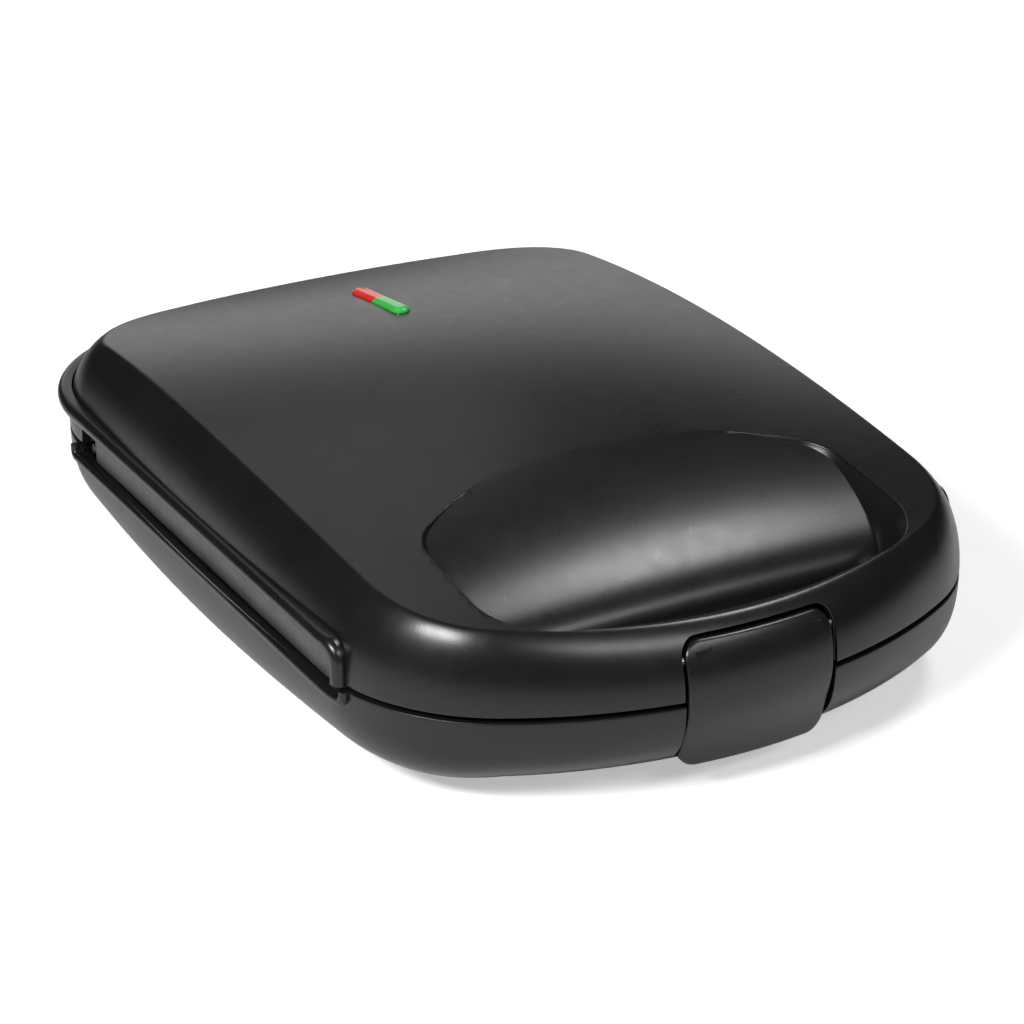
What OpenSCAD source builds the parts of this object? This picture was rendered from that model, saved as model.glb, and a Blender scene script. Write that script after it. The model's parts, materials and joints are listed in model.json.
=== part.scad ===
// Sandwich toaster for four sandwiches: a hinged clamshell with a finger recess in its lid,
// a latch across the front seam and a long indicator lens near the hinge.
// Origin: the middle of the footprint, on the table. X to the right, Y to the hinge, Z up.

/* [Body] */
// Half of the body's greatest width, without the beads along its sides
half_width = 117; // [116:0.5:118]
// Foremost point of the body
front_y = -181.2; // [-183:0.2:-180]
// Rearmost point of the body
back_y = 170.7; // [170:0.1:171.5]
// Height of the seam, where the lid's edge is
seam_z = 37; // [36.5:0.1:38]
// Gap between the lid's edge and the base's edge
seam_gap = 1.8; // [1:0.1:2.2]
// Height of the rubber feet under the base
foot_h = 6; // [5.5:0.1:6.5]
// Wall of both mouldings
wall = 2.4; // [2.2:0.1:2.6]

/* [Lid form] */
// Height of the lid's domed top above the seam, in its middle
dome_h = 43.7; // [43:0.1:45]
// How much lower the top is along its side edges
dome_drop = 6.4; // [5:0.1:8]
// Width of the rounded shoulder along the sides
shoulder_side = 13.3; // [12:0.1:15]
// Width of the shoulder along the front
shoulder_front = 9.7; // [9:0.1:11]
// Width of the shoulder along the back
shoulder_back = 27.8; // [24:0.1:30]

/* [Base form] */
// How far the base draws in under its sides
keel_side = 16.3; // [15:0.1:18]
// How far it draws in under its front
keel_front = 46; // [42:0.5:50]
// How far it draws in under its back
keel_back = 25.8; // [24:0.1:28]

/* [Finger recess] */
// Half of the recess's width
recess_half = 78.2; // [76:0.1:79]
// Front edge of the recess
recess_front = -169.2; // [-169.6:0.1:-168.8]
// Back edge of the recess
recess_back = -67.9; // [-70:0.1:-66]
// Height of the recess's floor above the seam, behind the front bar
recess_floor = 6; // [5.6:0.1:8]
// Length of the rounded roll from the back edge down to that floor
roll_l = 72; // [68:1:74]

/* [Side windows] */
// Front end of the window that shows the heating plate's edge
window_front = -114.8; // [-115:0.1:-114.6]
// Back end of the window
window_back = 101.3; // [101:0.1:101.4]
// Top of the window above the seam
window_top = 9.9; // [9.8:0.1:10.2]
// Bottom of the window below the seam
window_bottom = 3.9; // [3.7:0.1:4.1]
// Radius of the bead over the window
bead_r = 2.8; // [2.6:0.1:2.9]
// Radius of the bead under the window
low_bead_r = 1.7; // [1.6:0.1:1.9]
// Distance of the bead's axis from the body's middle
bead_x = 115.7; // [115.5:0.1:116]

/* [Heating plates] */
// Width of the upper plate, whose rim shows in the side windows
upper_plate_w = 227.2; // [226:0.1:227.6]
// Width of the lower plate
lower_plate_w = 220.8; // [219:0.1:221]
// Length of the upper plate
upper_plate_l = 207.5; // [206.5:0.1:208.5]
// Depth of the toasting pockets
pocket_depth = 12; // [10:0.5:12.5]
// Width of the ridges between the pockets
ridge_w = 8; // [7:0.5:9]
// Thickness of the cast plates
cast = 2.4; // [2.2:0.1:2.8]

/* [Latch] */
// Half of the latch's width
latch_half = 26.6; // [25:0.1:27]
// Height of the latch's top edge above the seam
latch_top = 18.2; // [17.5:0.1:18.4]
// Depth of its finger edge below the seam
latch_bottom = 26; // [24:0.1:27]
// Thickness of the latch's skin
latch_skin = 2.6; // [2.4:0.1:2.8]
// Radius of the latch's pin
latch_pin_r = 1.5; // [1.4:0.1:1.6]

/* [Hinge] */
// Distance of each hinge from the middle
hinge_x = 58; // [54:1:62]
// Radius of the knuckles
knuckle_r = 6; // [5.8:0.1:6.2]
// Radius of the hinge pins
hinge_pin_r = 2; // [1.8:0.1:2.2]

/* [Indicator] */
// Length of the two lenses together
lens_l = 40; // [36:1:42]
// Width of the lenses
lens_w = 7; // [6:0.1:8]
// Middle of the lenses
lens_y = 83.7; // [80:0.1:88]

/* [Hidden] */

// Where the body is widest, and the middle of the lid's dome
widest_y = -10.8;
// Radii of the outline's arcs: front, front corner, side, back corner, back
body_arcs = [168.8, 64.8, 2559, 62.8, 316.4];
// The same five arcs of the finger recess, and where it is widest
recess_arcs = [201, 26, 600, 20, 118];
recess_widest_y = -124;
// Numbers of steps along those arcs, in half an outline
body_steps = [4, 7, 3, 7, 4];
recess_steps = [4, 4, 1, 4, 5];
// The shoulder's curve: its roundness, and where the crease cuts it off
lid_round = 2.05;
crease_t = 0.88;
// The keel's curve
keel_round = 2.76;
base_h = seam_z - foot_h;
base_top = seam_z - seam_gap;
recess_wall = 2.2;
recess_depth = 36;
// Beads: centres of the corners that they turn, how far round each corner the two of them go,
// the radii of the bends at their ends, and the depth of the web behind them
bead_corners = [[50.5, -103.3], [51.6, 101.4]];
bead_turns = [-10, 62];
low_bead_turns = [-12, 4.5];
bead_bend = 5;
low_bead_bend = 2.4;
bead_web = 2.4;
bead_z = seam_z + window_top + 2.1;
low_bead_z = seam_z - window_bottom - 2;
// The heating plates meet a little below the lid's edge
parting_z = seam_z - 1;
plate_gap = 0.2;
plate_y = (window_front + window_back) / 2;
lower_plate_l = upper_plate_l - 2 * cast - 1.6;
upper_skirt = [parting_z - window_bottom + 1.5, seam_z + window_top - 0.9];
lower_skirt = [parting_z - 10, parting_z - plate_gap / 2];
pocket_half = [51, 46.5];
pocket_r = 9;
upper_back_z = parting_z + plate_gap / 2 + pocket_depth + cast;
lower_back_z = parting_z - plate_gap / 2 - pocket_depth - cast;
// Screws, and the lugs that they hold
screw_r = 1.5;
screw_fit = 0.1;
screw_head_r = 3.2;
screw_head_h = 1.7;
lug_x = 70;
lug_w = 14;
lug_l = 9;
lug_t = 2.4;
lug_y = [plate_y - upper_plate_l / 2 - lug_l / 2, plate_y + upper_plate_l / 2 + lug_l / 2];
lug_points = [for (y = lug_y) [lug_x, y]];
upper_lug_z = parting_z + 3;
lower_lug_z = parting_z - 5 - lug_t;
deck_t = 3;
deck_fit = 0.4;
lid_deck_z = seam_z + deck_fit;
base_deck_z = base_top - deck_fit - deck_t;
deck_screws = [[91, -133], [88, 128]];
// The heating elements, their clips and the trays behind them
element_r = 3.4;
element_half = [70, 72];
element_bend = 16;
clip_reach = element_r + 6;
tray_gap = 1.6;
tray_post_y = 36;
tray_half = [94, 92];
sheet = 0.8;
hinge_y = 175.2;
hinge_z = seam_z - seam_gap / 2;
hinge_screw_y = 151.5;
hinge_points = [[hinge_x, hinge_screw_y]];
arm_z = [seam_z + 3.6, seam_z + 7.6];
bracket_z = [base_top - 7.6, base_top - 4.6];
pivot_y = -174.1;
pivot_z = seam_z + 12;
latch_slot_half = latch_half + 1;
latch_slot_top = seam_z + 19.5;
latch_corner = 6;
notch_y = -170;
keeper_z = [seam_z - 13.8, seam_z - 8.3];
cover_z = [seam_z + 10, seam_z + 20];
cover_half = 20;
// Undersides of the lenses and of the lamp holder, below the lid's top
lens_low = -4.1;
holder_low = -12.5;
gland_z = 21.5;
feet = [[74, -92], [70, 118]];
foot_boss_h = 3.4;

// ---- curves ----

function heading(from, to) = atan2(to.y - from.y, to.x - from.x);

// Centre of an arc of radius r that is tangent inside two larger arcs; side picks one of the two
function tangent_centre(ca, ra, cb, rb, r, side) =
    let (
        a = ra - r,
        b = rb - r,
        d = norm(cb - ca),
        k = (a * a - b * b + d * d) / (2 * d),
        e = (cb - ca) / d
    )
    ca + k * e + side * sqrt(a * a - k * k) * [-e.y, e.x];

// Points [x, y, direction of the outward normal] along an arc
function arc(c, r, from, to, n, first) =
    [for (i = [first : n]) let (a = from + (to - from) * i / n) [c.x + r * cos(a), c.y + r * sin(a), a]];

// The right half of an outline of five tangent arcs, from its front to its back
function half_outline(half, front, back, widest, arcs, steps) =
    let (
        c1 = [0, front + arcs[0]],
        c3 = [half - arcs[2], widest],
        c5 = [0, back - arcs[4]],
        c2 = tangent_centre(c1, arcs[0], c3, arcs[2], arcs[1], 1),
        c4 = tangent_centre(c5, arcs[4], c3, arcs[2], arcs[3], -1),
        a1 = heading(c1, c2),
        a2 = heading(c3, c2),
        a3 = heading(c3, c4),
        a4 = heading(c5, c4)
    )
    concat(
        arc(c1, arcs[0], -90, a1, steps[0], 0),
        arc(c2, arcs[1], a1, a2, steps[1], 1),
        arc(c3, arcs[2], a2, a3, steps[2], 1),
        arc(c4, arcs[3], a3, a4, steps[3], 1),
        arc(c5, arcs[4], a4, 90, steps[4], 1)
    );

// A half outline and its mirror image
function both_halves(h) =
    concat(h, [for (i = [len(h) - 2 : -1 : 1]) [-h[i].x, h[i].y, 180 - h[i][2]]]);

body_outline = both_halves(half_outline(half_width, front_y, back_y, widest_y, body_arcs, body_steps));
recess_outline = both_halves(half_outline(recess_half, recess_front, recess_back, recess_widest_y,
    recess_arcs, recess_steps));

function inset(p, d) = [p.x - d * cos(p[2]), p.y - d * sin(p[2]), p[2]];

// How far a quarter of a superellipse has come in at the share t of its height
function swell(t, m) = 1 - pow(1 - pow(t, m), 1 / m);

// An inset that changes from side to front and back, with a term for the corners
function around(a, side, front, back, front_corner, back_corner) =
    side + ((sin(a) < 0 ? front : back) - side) * pow(sin(a), 2)
        + (sin(a) < 0 ? front_corner : back_corner) * pow(sin(2 * a), 2);

function shoulder(a) = around(a, shoulder_side, shoulder_front, shoulder_back, -3.1, 0.6);

// The keel is deeper towards both ends of the sides
function keel(p) =
    let (q = (p.y - widest_y) / 100, flank = pow(cos(p[2]), 8))
    around(p[2], keel_side, keel_front, keel_back, -2.7, 9.8) + flank * (8.4 * q * q - 3.1 * q);

// Height of the lid's top
function top_z(x, y) =
    let (q = (y - widest_y) / 100)
    seam_z + dome_h - dome_drop + 3.8 * q - 4.4 * q * q - 0.8 * q * q * q
        + dome_drop * (1 - pow(x / 103.7, 2)) * (1 - pow(q / 1.57, 2));

// How far the recess's walls have come in at the bottom
function recess_draft(a) = around(a, 9, 8, 9, 0, 0);

// A point of the long roll that is the recess's floor, at the share u of its length
function roll_point(x, u) =
    let (top = dome_h - 4.3 - 1.8 * pow(x / 70, 2))
    [recess_back - roll_l * u, seam_z + recess_floor + (top - recess_floor) * sqrt(1 - pow(u, 1.2))];

// ---- rings of points, each a closed line round the body ----

// The lid's shoulder at the share t of its height, offset inwards by d
function lid_ring(t, d) =
    [for (p = body_outline)
        let (
            edge = inset(p, shoulder(p[2])),
            q = inset(p, shoulder(p[2]) * swell(t, lid_round) / swell(crease_t, lid_round) + d)
        )
        [q.x, q.y, seam_z + (top_z(edge.x, edge.y) - seam_z - d) * t / crease_t]];

// The lid's top, drawn in to the share k of the crease
function top_ring(k, d) =
    [for (p = body_outline)
        let (
            q = inset(p, shoulder(p[2]) + d),
            x = q.x * k,
            y = widest_y + (q.y - widest_y) * k
        )
        [x, y, top_z(x, y) - d]];

// The base's hull at the share t of its depth, offset inwards by d
function base_ring(t, d) =
    [for (p = body_outline)
        let (q = inset(p, keel(p) * swell(t, keel_round) + d))
        [q.x, q.y, seam_z - (base_h - d) * t]];

// The recess's edge, drawn in by a share of its draft and grown by g
function recess_ring(depth, share, g) =
    [for (p = recess_outline)
        let (q = inset(p, recess_draft(p[2]) * share - g))
        [q.x, q.y, top_z(p.x, p.y) - depth]];

// The space over the roll at x, cut across the body and grown by g
function roll_ring(x, g) =
    let (
        n = 11,
        line = [for (i = [n : -1 : 0]) roll_point(x, 1 - pow(1 - i / n, 1.8))],
        last = len(line) - 1,
        grown = [for (i = [0 : last])
            let (d = line[min(i + 1, last)] - line[max(i - 1, 0)], e = d / norm(d))
            [x, line[i].x + g * e.y, line[i].y - g * e.x]]
    )
    concat(
        [[x, front_y - 5, seam_z + recess_floor - g], [x, line[0].x, seam_z + recess_floor - g]],
        [for (i = [1 : last]) grown[i]],
        [[x, recess_back + 15, grown[last].z + 3]],
        [for (y = [recess_back + 15, front_y - 5]) [x, y, seam_z + 60]]
    );

function lifted(ring, z) = [for (p = ring) [p.x, p.y, z]];

// ---- general shapes ----

// A closed solid through rings of points, from the lowest to the highest
module loft(rings) {
    n = len(rings[0]);
    m = len(rings);
    skin = [for (j = [0 : m - 2]) for (i = [0 : n - 1])
        let (a = j * n + i, b = j * n + (i + 1) % n)
        each [[a, a + n, b + n], [a, b + n, b]]];
    bottom = [for (i = [0 : n - 1]) i];
    top = [for (i = [n - 1 : -1 : 0]) (m - 1) * n + i];
    polyhedron(points = [for (r = rings) each r], faces = concat([bottom], skin, [top]), convexity = 10);
}

module both_sides() {
    children();
    mirror([1, 0, 0]) children();
}

module box(low, high) {
    translate(low) cube(high - low);
}

// Carries what follows to both ends of a list of points, right and left
module at_points(points) {
    both_sides() for (p = points) translate([p.x, p.y, 0]) children();
}

// A cylinder along X
module x_rod(r, x0, x1, y, z) {
    translate([x0, y, z]) rotate([0, 90, 0]) cylinder(r = r, h = x1 - x0);
}

// A cylinder along Y
module y_rod(r, y0, y1, x, z) {
    translate([x, y0, z]) rotate([-90, 0, 0]) cylinder(r = r, h = y1 - y0);
}

module rounded(w, l, r) {
    square([w - 2 * r, l], center = true);
    square([w, l - 2 * r], center = true);
    for (sx = [-1, 1], sy = [-1, 1]) translate([sx * (w / 2 - r), sy * (l / 2 - r)]) circle(r = r);
}

module pill(l, w) {
    square([w, l - w], center = true);
    for (s = [-1, 1]) translate([0, s * (l - w) / 2]) circle(r = w / 2);
}

// ---- mouldings ----

lid_steps = [0.12, 0.26, 0.4, 0.53, 0.65, 0.75, 0.83, crease_t];
top_steps = [0.9, 0.7, 0.45, 0.18];
base_steps = [1, 0.97, 0.9, 0.8, 0.67, 0.5, 0.3, 0];
// Depths in the recess, each with the share of the draft that it has
recess_steps_down = [[1, 1], [0.55, 0.8], [0.2, 0.45], [0.07, 0.2], [0.02, 0.06], [0, 0]];
roll_steps = [-90, -60, -30, 0, 30, 60, 90];

module lid_form() {
    loft(concat(
        [lifted(lid_ring(0, 0), seam_z - 2)],
        [for (t = lid_steps) lid_ring(t, 0)],
        [for (k = top_steps) top_ring(k, 0)]
    ));
}

module lid_cavity() {
    loft(concat(
        [lifted(lid_ring(0, wall), seam_z - 1)],
        [for (t = [0.1, 0.22, 0.5, 0.72, crease_t]) lid_ring(t, wall)],
        [for (k = [0.78, 0.6, 0.42, 0.22]) top_ring(k, wall)]
    ));
}

// The recess: a tapering well over a long roll, grown by g
module recess_form(g) {
    intersection() {
        loft(concat(
            [for (s = recess_steps_down) recess_ring(s[0] * recess_depth, s[1], g)],
            [lifted(recess_ring(0, 0, g), seam_z + dome_h + 10)]
        ));
        loft([for (x = roll_steps) roll_ring(x, g)]);
    }
}

module base_form() {
    loft([for (t = base_steps) base_ring(t, 0)]);
}

module base_cavity() {
    loft(concat(
        [for (t = [1, 0.9, 0.7, 0.4, 0.2]) base_ring(t, wall)],
        [lifted(base_ring(0, wall), seam_z + 1)]
    ));
}

// A point of the beads' line in plan, moved outwards; l is the distance from the end of the front corner
function bead_point(l, out) =
    let (
        start = bead_corners[0].y,
        c = l < 0 ? bead_corners[0] : bead_corners[1],
        r = bead_x - c.x,
        a = min(l, max(0, l - bead_corners[1].y + start)) / r * 180 / PI
    )
    [c.x + (r + out) * cos(a), (l < 0 ? start : min(start + l, c.y)) + (r + out) * sin(a)];

// How far along its line a bead has turned a corner by a degrees
function bead_reach(a) =
    a < 0
        ? (bead_x - bead_corners[0].x) * a * PI / 180
        : bead_corners[1].y - bead_corners[0].y + (bead_x - bead_corners[1].x) * a * PI / 180;

// Both beads of a moulding: round outside, with a web behind, and bent to the seam at both ends.
// up says which way from the seam they lie, reach how far their ends go back towards it.
module window_beads(z, r, bend, turns, reach, up) {
    from = bead_reach(turns[0]);
    to = bead_reach(turns[1]);
    path = concat(
        [[from, -reach, 180]],
        [for (a = [0 : 30 : 90]) [from + bend * (1 - cos(a)), bend * (sin(a) - 1), 180 - a]],
        [[0, 0, 90]],
        [for (a = [0 : 9 : turns[1]]) let (l = bead_reach(a)) if (l < to - bend - 2) [l, 0, 90]],
        [for (a = [90 : -30 : 0]) [to - bend * (1 - cos(a)), bend * (sin(a) - 1), a]],
        [[to, -reach, 0]]
    );
    section = concat(
        [[-bead_web, r - 0.2]],
        [for (a = [90 : -30 : -90]) [r * cos(a), r * sin(a)]],
        [[-bead_web, 0.2 - r]]
    );
    both_sides() translate([0, 0, z]) mirror([0, 0, up > 0 ? 0 : 1]) loft([for (p = path) [for (q = section)
        let (b = bead_point(p.x + q.y * cos(p.z), q.x)) [b.x, b.y, p.y + q.y * sin(p.z)]]]);
}

module window_opening(low, high) {
    both_sides() box([100, window_front, low], [130, window_back, high]);
}

module lid_inside() {
    difference() {
        lid_cavity();
        recess_form(recess_wall);
        at_points(lug_points) translate([0, 0, upper_lug_z + lug_t])
            cylinder(r = 4.5, h = 60);
        at_points(deck_screws) translate([0, 0, lid_deck_z + deck_t]) cylinder(r = 4, h = 60);
        at_points(hinge_points) translate([0, 0, arm_z[1]]) cylinder(r = 4.5, h = 60);
        both_sides() box([latch_half + 2.6, front_y - 5, lid_deck_z + deck_t],
            [latch_half + 5.4, recess_front + 6, seam_z + 30]);
        both_sides() box([35.2, -55, seam_z + 26], [36.8, 130, seam_z + 60]);
        for (y = [-20, 40]) box([-100, y - 0.8, seam_z + 26], [100, y + 0.8, seam_z + 60]);
        lens_frame() for (s = [-1, 1]) translate([0, s * 28, holder_low + 4]) cylinder(r = 3.4, h = 20);
    }
}

module lid_slots() {
    translate([0, -170, 0]) rotate([90, 0, 0]) linear_extrude(30) {
        translate([-latch_slot_half, seam_z - 5])
            square([2 * latch_slot_half, latch_slot_top - seam_z + 5 - latch_corner]);
        translate([-latch_slot_half + latch_corner, seam_z])
            square([2 * (latch_slot_half - latch_corner), latch_slot_top - seam_z]);
        for (s = [-1, 1]) translate([s * (latch_slot_half - latch_corner), latch_slot_top - latch_corner])
            circle(r = latch_corner);
    }
    both_sides() box([hinge_x - 9.2, 146, seam_z - 5], [hinge_x + 9.2, 190, arm_z[1] + 1.6]);
    lens_frame() {
        translate([0, 0, -8]) linear_extrude(20) pill(lens_l + 0.2, lens_w + 0.2);
        for (s = [-1, 1]) translate([0, s * 28, holder_low + 3]) cylinder(r = 1.2, h = 5, $fn = 12);
    }
    x_rod(latch_pin_r + 0.05, -latch_half - 6, latch_half + 6, pivot_y, pivot_z);
    intersection() {
        recess_form(recess_wall + 0.05);
        box([-cover_half - 0.05, -180, cover_z[0] - 0.05], [cover_half + 0.05, -150, cover_z[1] + 0.05]);
    }
}

module screw_hole(z, l) {
    translate([0, 0, z]) cylinder(r = screw_r + screw_fit, h = l, $fn = 12);
}

module lid_housing() color([0.07, 0.07, 0.075]) {
    resize([2 * (bead_x + bead_r), 0, 0]) difference() {
        union() {
            difference() {
                lid_form();
                recess_form(0);
                lid_inside($fn = 14);
                lid_slots($fn = 24);
                window_opening(seam_z - 5, seam_z + window_top);
                at_points(lug_points) screw_hole(upper_lug_z, 14);
                at_points(deck_screws) screw_hole(lid_deck_z, 14);
                at_points(hinge_points) screw_hole(arm_z[1] - 1, 12);
            }
            window_beads(bead_z, bead_r, bead_bend, bead_turns, bead_z - seam_z + 1, 1);
        }
        box([-200, -250, 0], [200, 250, seam_z]);
    }
}

// The notch in the base's front that the latch closes into
module latch_notch(g) {
    box([-latch_slot_half - g, -200, 0], [latch_slot_half + g, notch_y + g, base_top + 5]);
}

module base_inside() {
    difference() {
        base_cavity();
        latch_notch(recess_wall);
        at_points(lug_points) cylinder(r = 4.5, h = lower_lug_z);
        at_points(deck_screws) cylinder(r = 4, h = base_deck_z);
        at_points(hinge_points) cylinder(r = 4.5, h = bracket_z[0]);
        at_points(feet) cylinder(r = 6, h = foot_h + foot_boss_h);
        y_rod(9.2, 160, 190, 0, gland_z);
    }
}

module base_vents() {
    for (s = [-1, 1], i = [-3 : 3]) translate([s * 38, plate_y + i * 9, foot_h - 1])
        linear_extrude(wall + 2) rotate(90) pill(34, 3);
}

module base_housing() color([0.07, 0.07, 0.075]) {
    resize([2 * (bead_x + low_bead_r), 0, 0]) difference() {
        union() {
            difference() {
                union() {
                    base_form();
                    y_rod(9.2, 160, 170.4, 0, gland_z, $fn = 28);
                }
                latch_notch(0);
                base_inside($fn = 14);
                base_vents($fn = 12);
                window_opening(seam_z - window_bottom, seam_z + 5);
                both_sides() for (s = [-1, 1]) box([hinge_x + s * 11.25 - 2.6, 146, bracket_z[0]],
                    [hinge_x + s * 11.25 + 2.6, 190, base_top + 5]);
                box([-13, -200, keeper_z[0]], [13, notch_y + 5, keeper_z[1]]);
                at_points(feet) cylinder(r = 3.1, h = 20, $fn = 16);
                y_rod(6.1, 140, 190, 0, gland_z, $fn = 28);
                at_points(lug_points) screw_hole(lower_lug_z - 14, 15);
                at_points(deck_screws) screw_hole(base_deck_z - 12, 15);
                at_points(hinge_points) screw_hole(bracket_z[0] - 12, 15);
            }
            window_beads(low_bead_z, low_bead_r, low_bead_bend, low_bead_turns,
                base_top - low_bead_z + 1, -1);
        }
        box([-200, -250, base_top], [200, 250, seam_z + 20]);
    }
}

// ---- inner decks ----

// The floor plan inside the walls, between two lines across the body
module deck_plan(from, to, d) {
    intersection() {
        polygon([for (p = body_outline) let (q = inset(p, d)) [q.x, q.y]]);
        translate([-150, from]) square([300, to - from]);
    }
}

front_deck = [front_y - 5, window_front + 0.2];
rear_deck = [window_back - 0.2, back_y + 5];

// A cover between the plate and the walls; face is 1 where its upper side shows, -1 for its lower side
module deck(z, range, d, face) {
    difference() {
        translate([0, 0, z]) linear_extrude(deck_t) deck_plan(range[0], range[1], d);
        both_sides() for (y = lug_y) translate([lug_x, y, z - 1])
            linear_extrude(deck_t + 2) square([lug_w + 1, lug_l + 2.4], center = true);
        at_points(deck_screws) translate([0, 0, z - 1]) cylinder(r = screw_r + screw_fit, h = deck_t + 2);
        at_points(deck_screws) translate([0, 0, face > 0 ? z + deck_t - screw_head_h - 0.2 : z - 1])
            cylinder(r = screw_head_r + 0.3, h = screw_head_h + 1.2);
    }
}

module lid_front_deck() color([0.09, 0.09, 0.095]) {
    difference() {
        deck(lid_deck_z, front_deck, wall + 0.8, -1, $fn = 32);
        box([-latch_half - 1, front_y - 5, seam_z - 1], [latch_half + 1, recess_front + 3, seam_z + 5]);
    }
}

module lid_rear_deck() color([0.09, 0.09, 0.095]) {
    difference() {
        deck(lid_deck_z, rear_deck, wall + 0.8, -1, $fn = 32);
        both_sides() box([hinge_x - 9.2, 146, seam_z - 1], [hinge_x + 9.2, 190, seam_z + 5]);
    }
}

module base_front_deck() color([0.09, 0.09, 0.095]) {
    difference() {
        deck(base_deck_z, front_deck, wall + 0.9, 1, $fn = 32);
        box([-latch_slot_half - 3, front_y - 5, 0], [latch_slot_half + 3, notch_y + 3, base_top]);
    }
}

module base_rear_deck() color([0.09, 0.09, 0.095]) {
    difference() {
        deck(base_deck_z, rear_deck, wall + 0.9, 1, $fn = 32);
        both_sides() box([hinge_x - 14, 145, 0], [hinge_x + 14, 190, base_top]);
    }
}

// ---- heating plates ----

// One three-cornered pocket of one quarter of the plate; half says on which side of its diagonal ridge
module pocket(half, g) {
    r = pocket_r;
    ax = pocket_half.x;
    ay = pocket_half.y;
    cut = r * 2.6 + ridge_w / 2;
    spots = [for (p = [[-ax + r, ay - r], [ax - cut, ay - r], [-ax + r, -ay + cut]]) half * p];
    centre = (spots[0] + spots[1] + spots[2]) / 3;
    hull() {
        for (p = spots) translate([p.x, p.y, 0]) cylinder(r = r + g, h = 0.1);
        translate([centre.x, centre.y, pocket_depth + g - 0.1])
            for (p = spots) translate((p - centre) * 0.8) cylinder(r = r - 3 + g, h = 0.1);
    }
}

module all_pockets(g) {
    for (sx = [0, 1], sy = [0, 1]) mirror([sx, 0, 0]) mirror([0, sy, 0])
        translate([pocket_half.x + ridge_w / 2, pocket_half.y + ridge_w / 2, 0])
            for (half = [-1, 1]) pocket(half, g);
}

// Carries what follows to each clip of an element, turned with it
module at_clips() {
    for (c = [[element_half.x, 0, 0], [-element_half.x, 0, 180], [0, -element_half.y, -90]])
        translate([c.x, c.y, 0]) rotate(c.z) children();
}

// A cast plate seen from its back: pockets, rim, and posts for the clips and the tray
module plate_back(w, l) {
    linear_extrude(cast) rounded(w - 1, l - 1, 8);
    all_pockets(cast);
    at_clips() translate([-clip_reach, 0, 0]) cylinder(r = 3.6, h = pocket_depth + cast);
    for (s = [-1, 1]) translate([0, s * tray_post_y, 0])
        cylinder(r = 3.6, h = pocket_depth + cast + 2 * element_r + tray_gap);
}

module plate_cuts() {
    translate([0, 0, -0.05]) all_pockets(0);
    at_clips() translate([-clip_reach, 0, pocket_depth + cast - 7]) cylinder(r = screw_r + screw_fit, h = 9);
    for (s = [-1, 1]) translate([0, s * tray_post_y, pocket_depth + 3])
        cylinder(r = screw_r + screw_fit, h = 20);
}

module skirt(w, l, low, high) {
    translate([0, 0, low]) linear_extrude(high - low) difference() {
        rounded(w, l, 8);
        rounded(w - 2 * cast, l - 2 * cast, 8 - cast);
    }
}

// Lugs on both ends of a plate, from its rim out to the screws
module lugs(l, z) {
    reach = lug_y[1] + lug_l / 2 - plate_y;
    for (s = [-1, 1]) both_sides() difference() {
        translate([lug_x - lug_w / 2, s > 0 ? l / 2 - 1 : -reach, z])
            cube([lug_w, reach - l / 2 + 1, lug_t]);
        translate([lug_x, s * (reach - lug_l / 2), z - 1]) cylinder(r = screw_r + screw_fit, h = 5);
    }
}

module upper_plate() color([0.2, 0.2, 0.21]) {
    translate([0, plate_y, 0]) {
        difference() {
            translate([0, 0, parting_z + plate_gap / 2]) plate_back(upper_plate_w, upper_plate_l, $fn = 12);
            translate([0, 0, parting_z + plate_gap / 2]) plate_cuts($fn = 12);
        }
        skirt(upper_plate_w, upper_plate_l, upper_skirt[0], upper_skirt[1], $fn = 28);
        lugs(upper_plate_l, upper_lug_z, $fn = 12);
    }
}

module lower_plate() color([0.2, 0.2, 0.21]) {
    translate([0, plate_y, 0]) {
        difference() {
            translate([0, 0, parting_z - plate_gap / 2]) mirror([0, 0, 1]) {
                plate_back(lower_plate_w, lower_plate_l, $fn = 12);
                for (s = [-1, 1]) translate([0, s * 12.5, 0]) cylinder(r = 3.2, h = cast + 3, $fn = 12);
            }
            translate([0, 0, parting_z - plate_gap / 2]) mirror([0, 0, 1]) {
                plate_cuts($fn = 12);
                for (s = [-1, 1]) translate([0, s * 12.5, 1])
                    cylinder(r = screw_r + screw_fit, h = cast + 3, $fn = 12);
            }
        }
        skirt(lower_plate_w, lower_plate_l, lower_skirt[0], lower_skirt[1], $fn = 28);
        lugs(lower_plate_l, lower_lug_z, $fn = 12);
    }
}

// ---- heating elements ----

// One quarter bend of the element's tube, centred on the bend
module tube_bend(at, turn) {
    translate(at) rotate(turn) rotate_extrude(angle = 90, $fn = 48)
        translate([element_bend, 0]) circle(r = element_r);
}

module element(z, terminal) {
    hx = element_half.x;
    hy = element_half.y;
    b = element_bend;
    translate([0, plate_y, z]) {
        both_sides() {
            y_rod(element_r, -hy + b, hy - b, hx, 0);
            tube_bend([hx - b, -hy + b, 0], -90);
            tube_bend([hx - b, hy - b, 0], 0);
            x_rod(element_r, 14, hx - b, hy, 0);
        }
        x_rod(element_r, b - hx, hx - b, -hy, 0);
        both_sides() x_rod(1.2, 6, 14, hy, 0);
        both_sides() box([5.2, hy - 3, -0.4], [9, hy + 3 + terminal, 0.4]);
    }
}

module upper_element() color([0.45, 0.42, 0.38]) element(upper_back_z + element_r, 3, $fn = 32);

module lower_element() color([0.45, 0.42, 0.38]) element(lower_back_z - element_r, 3, $fn = 32);

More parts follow.
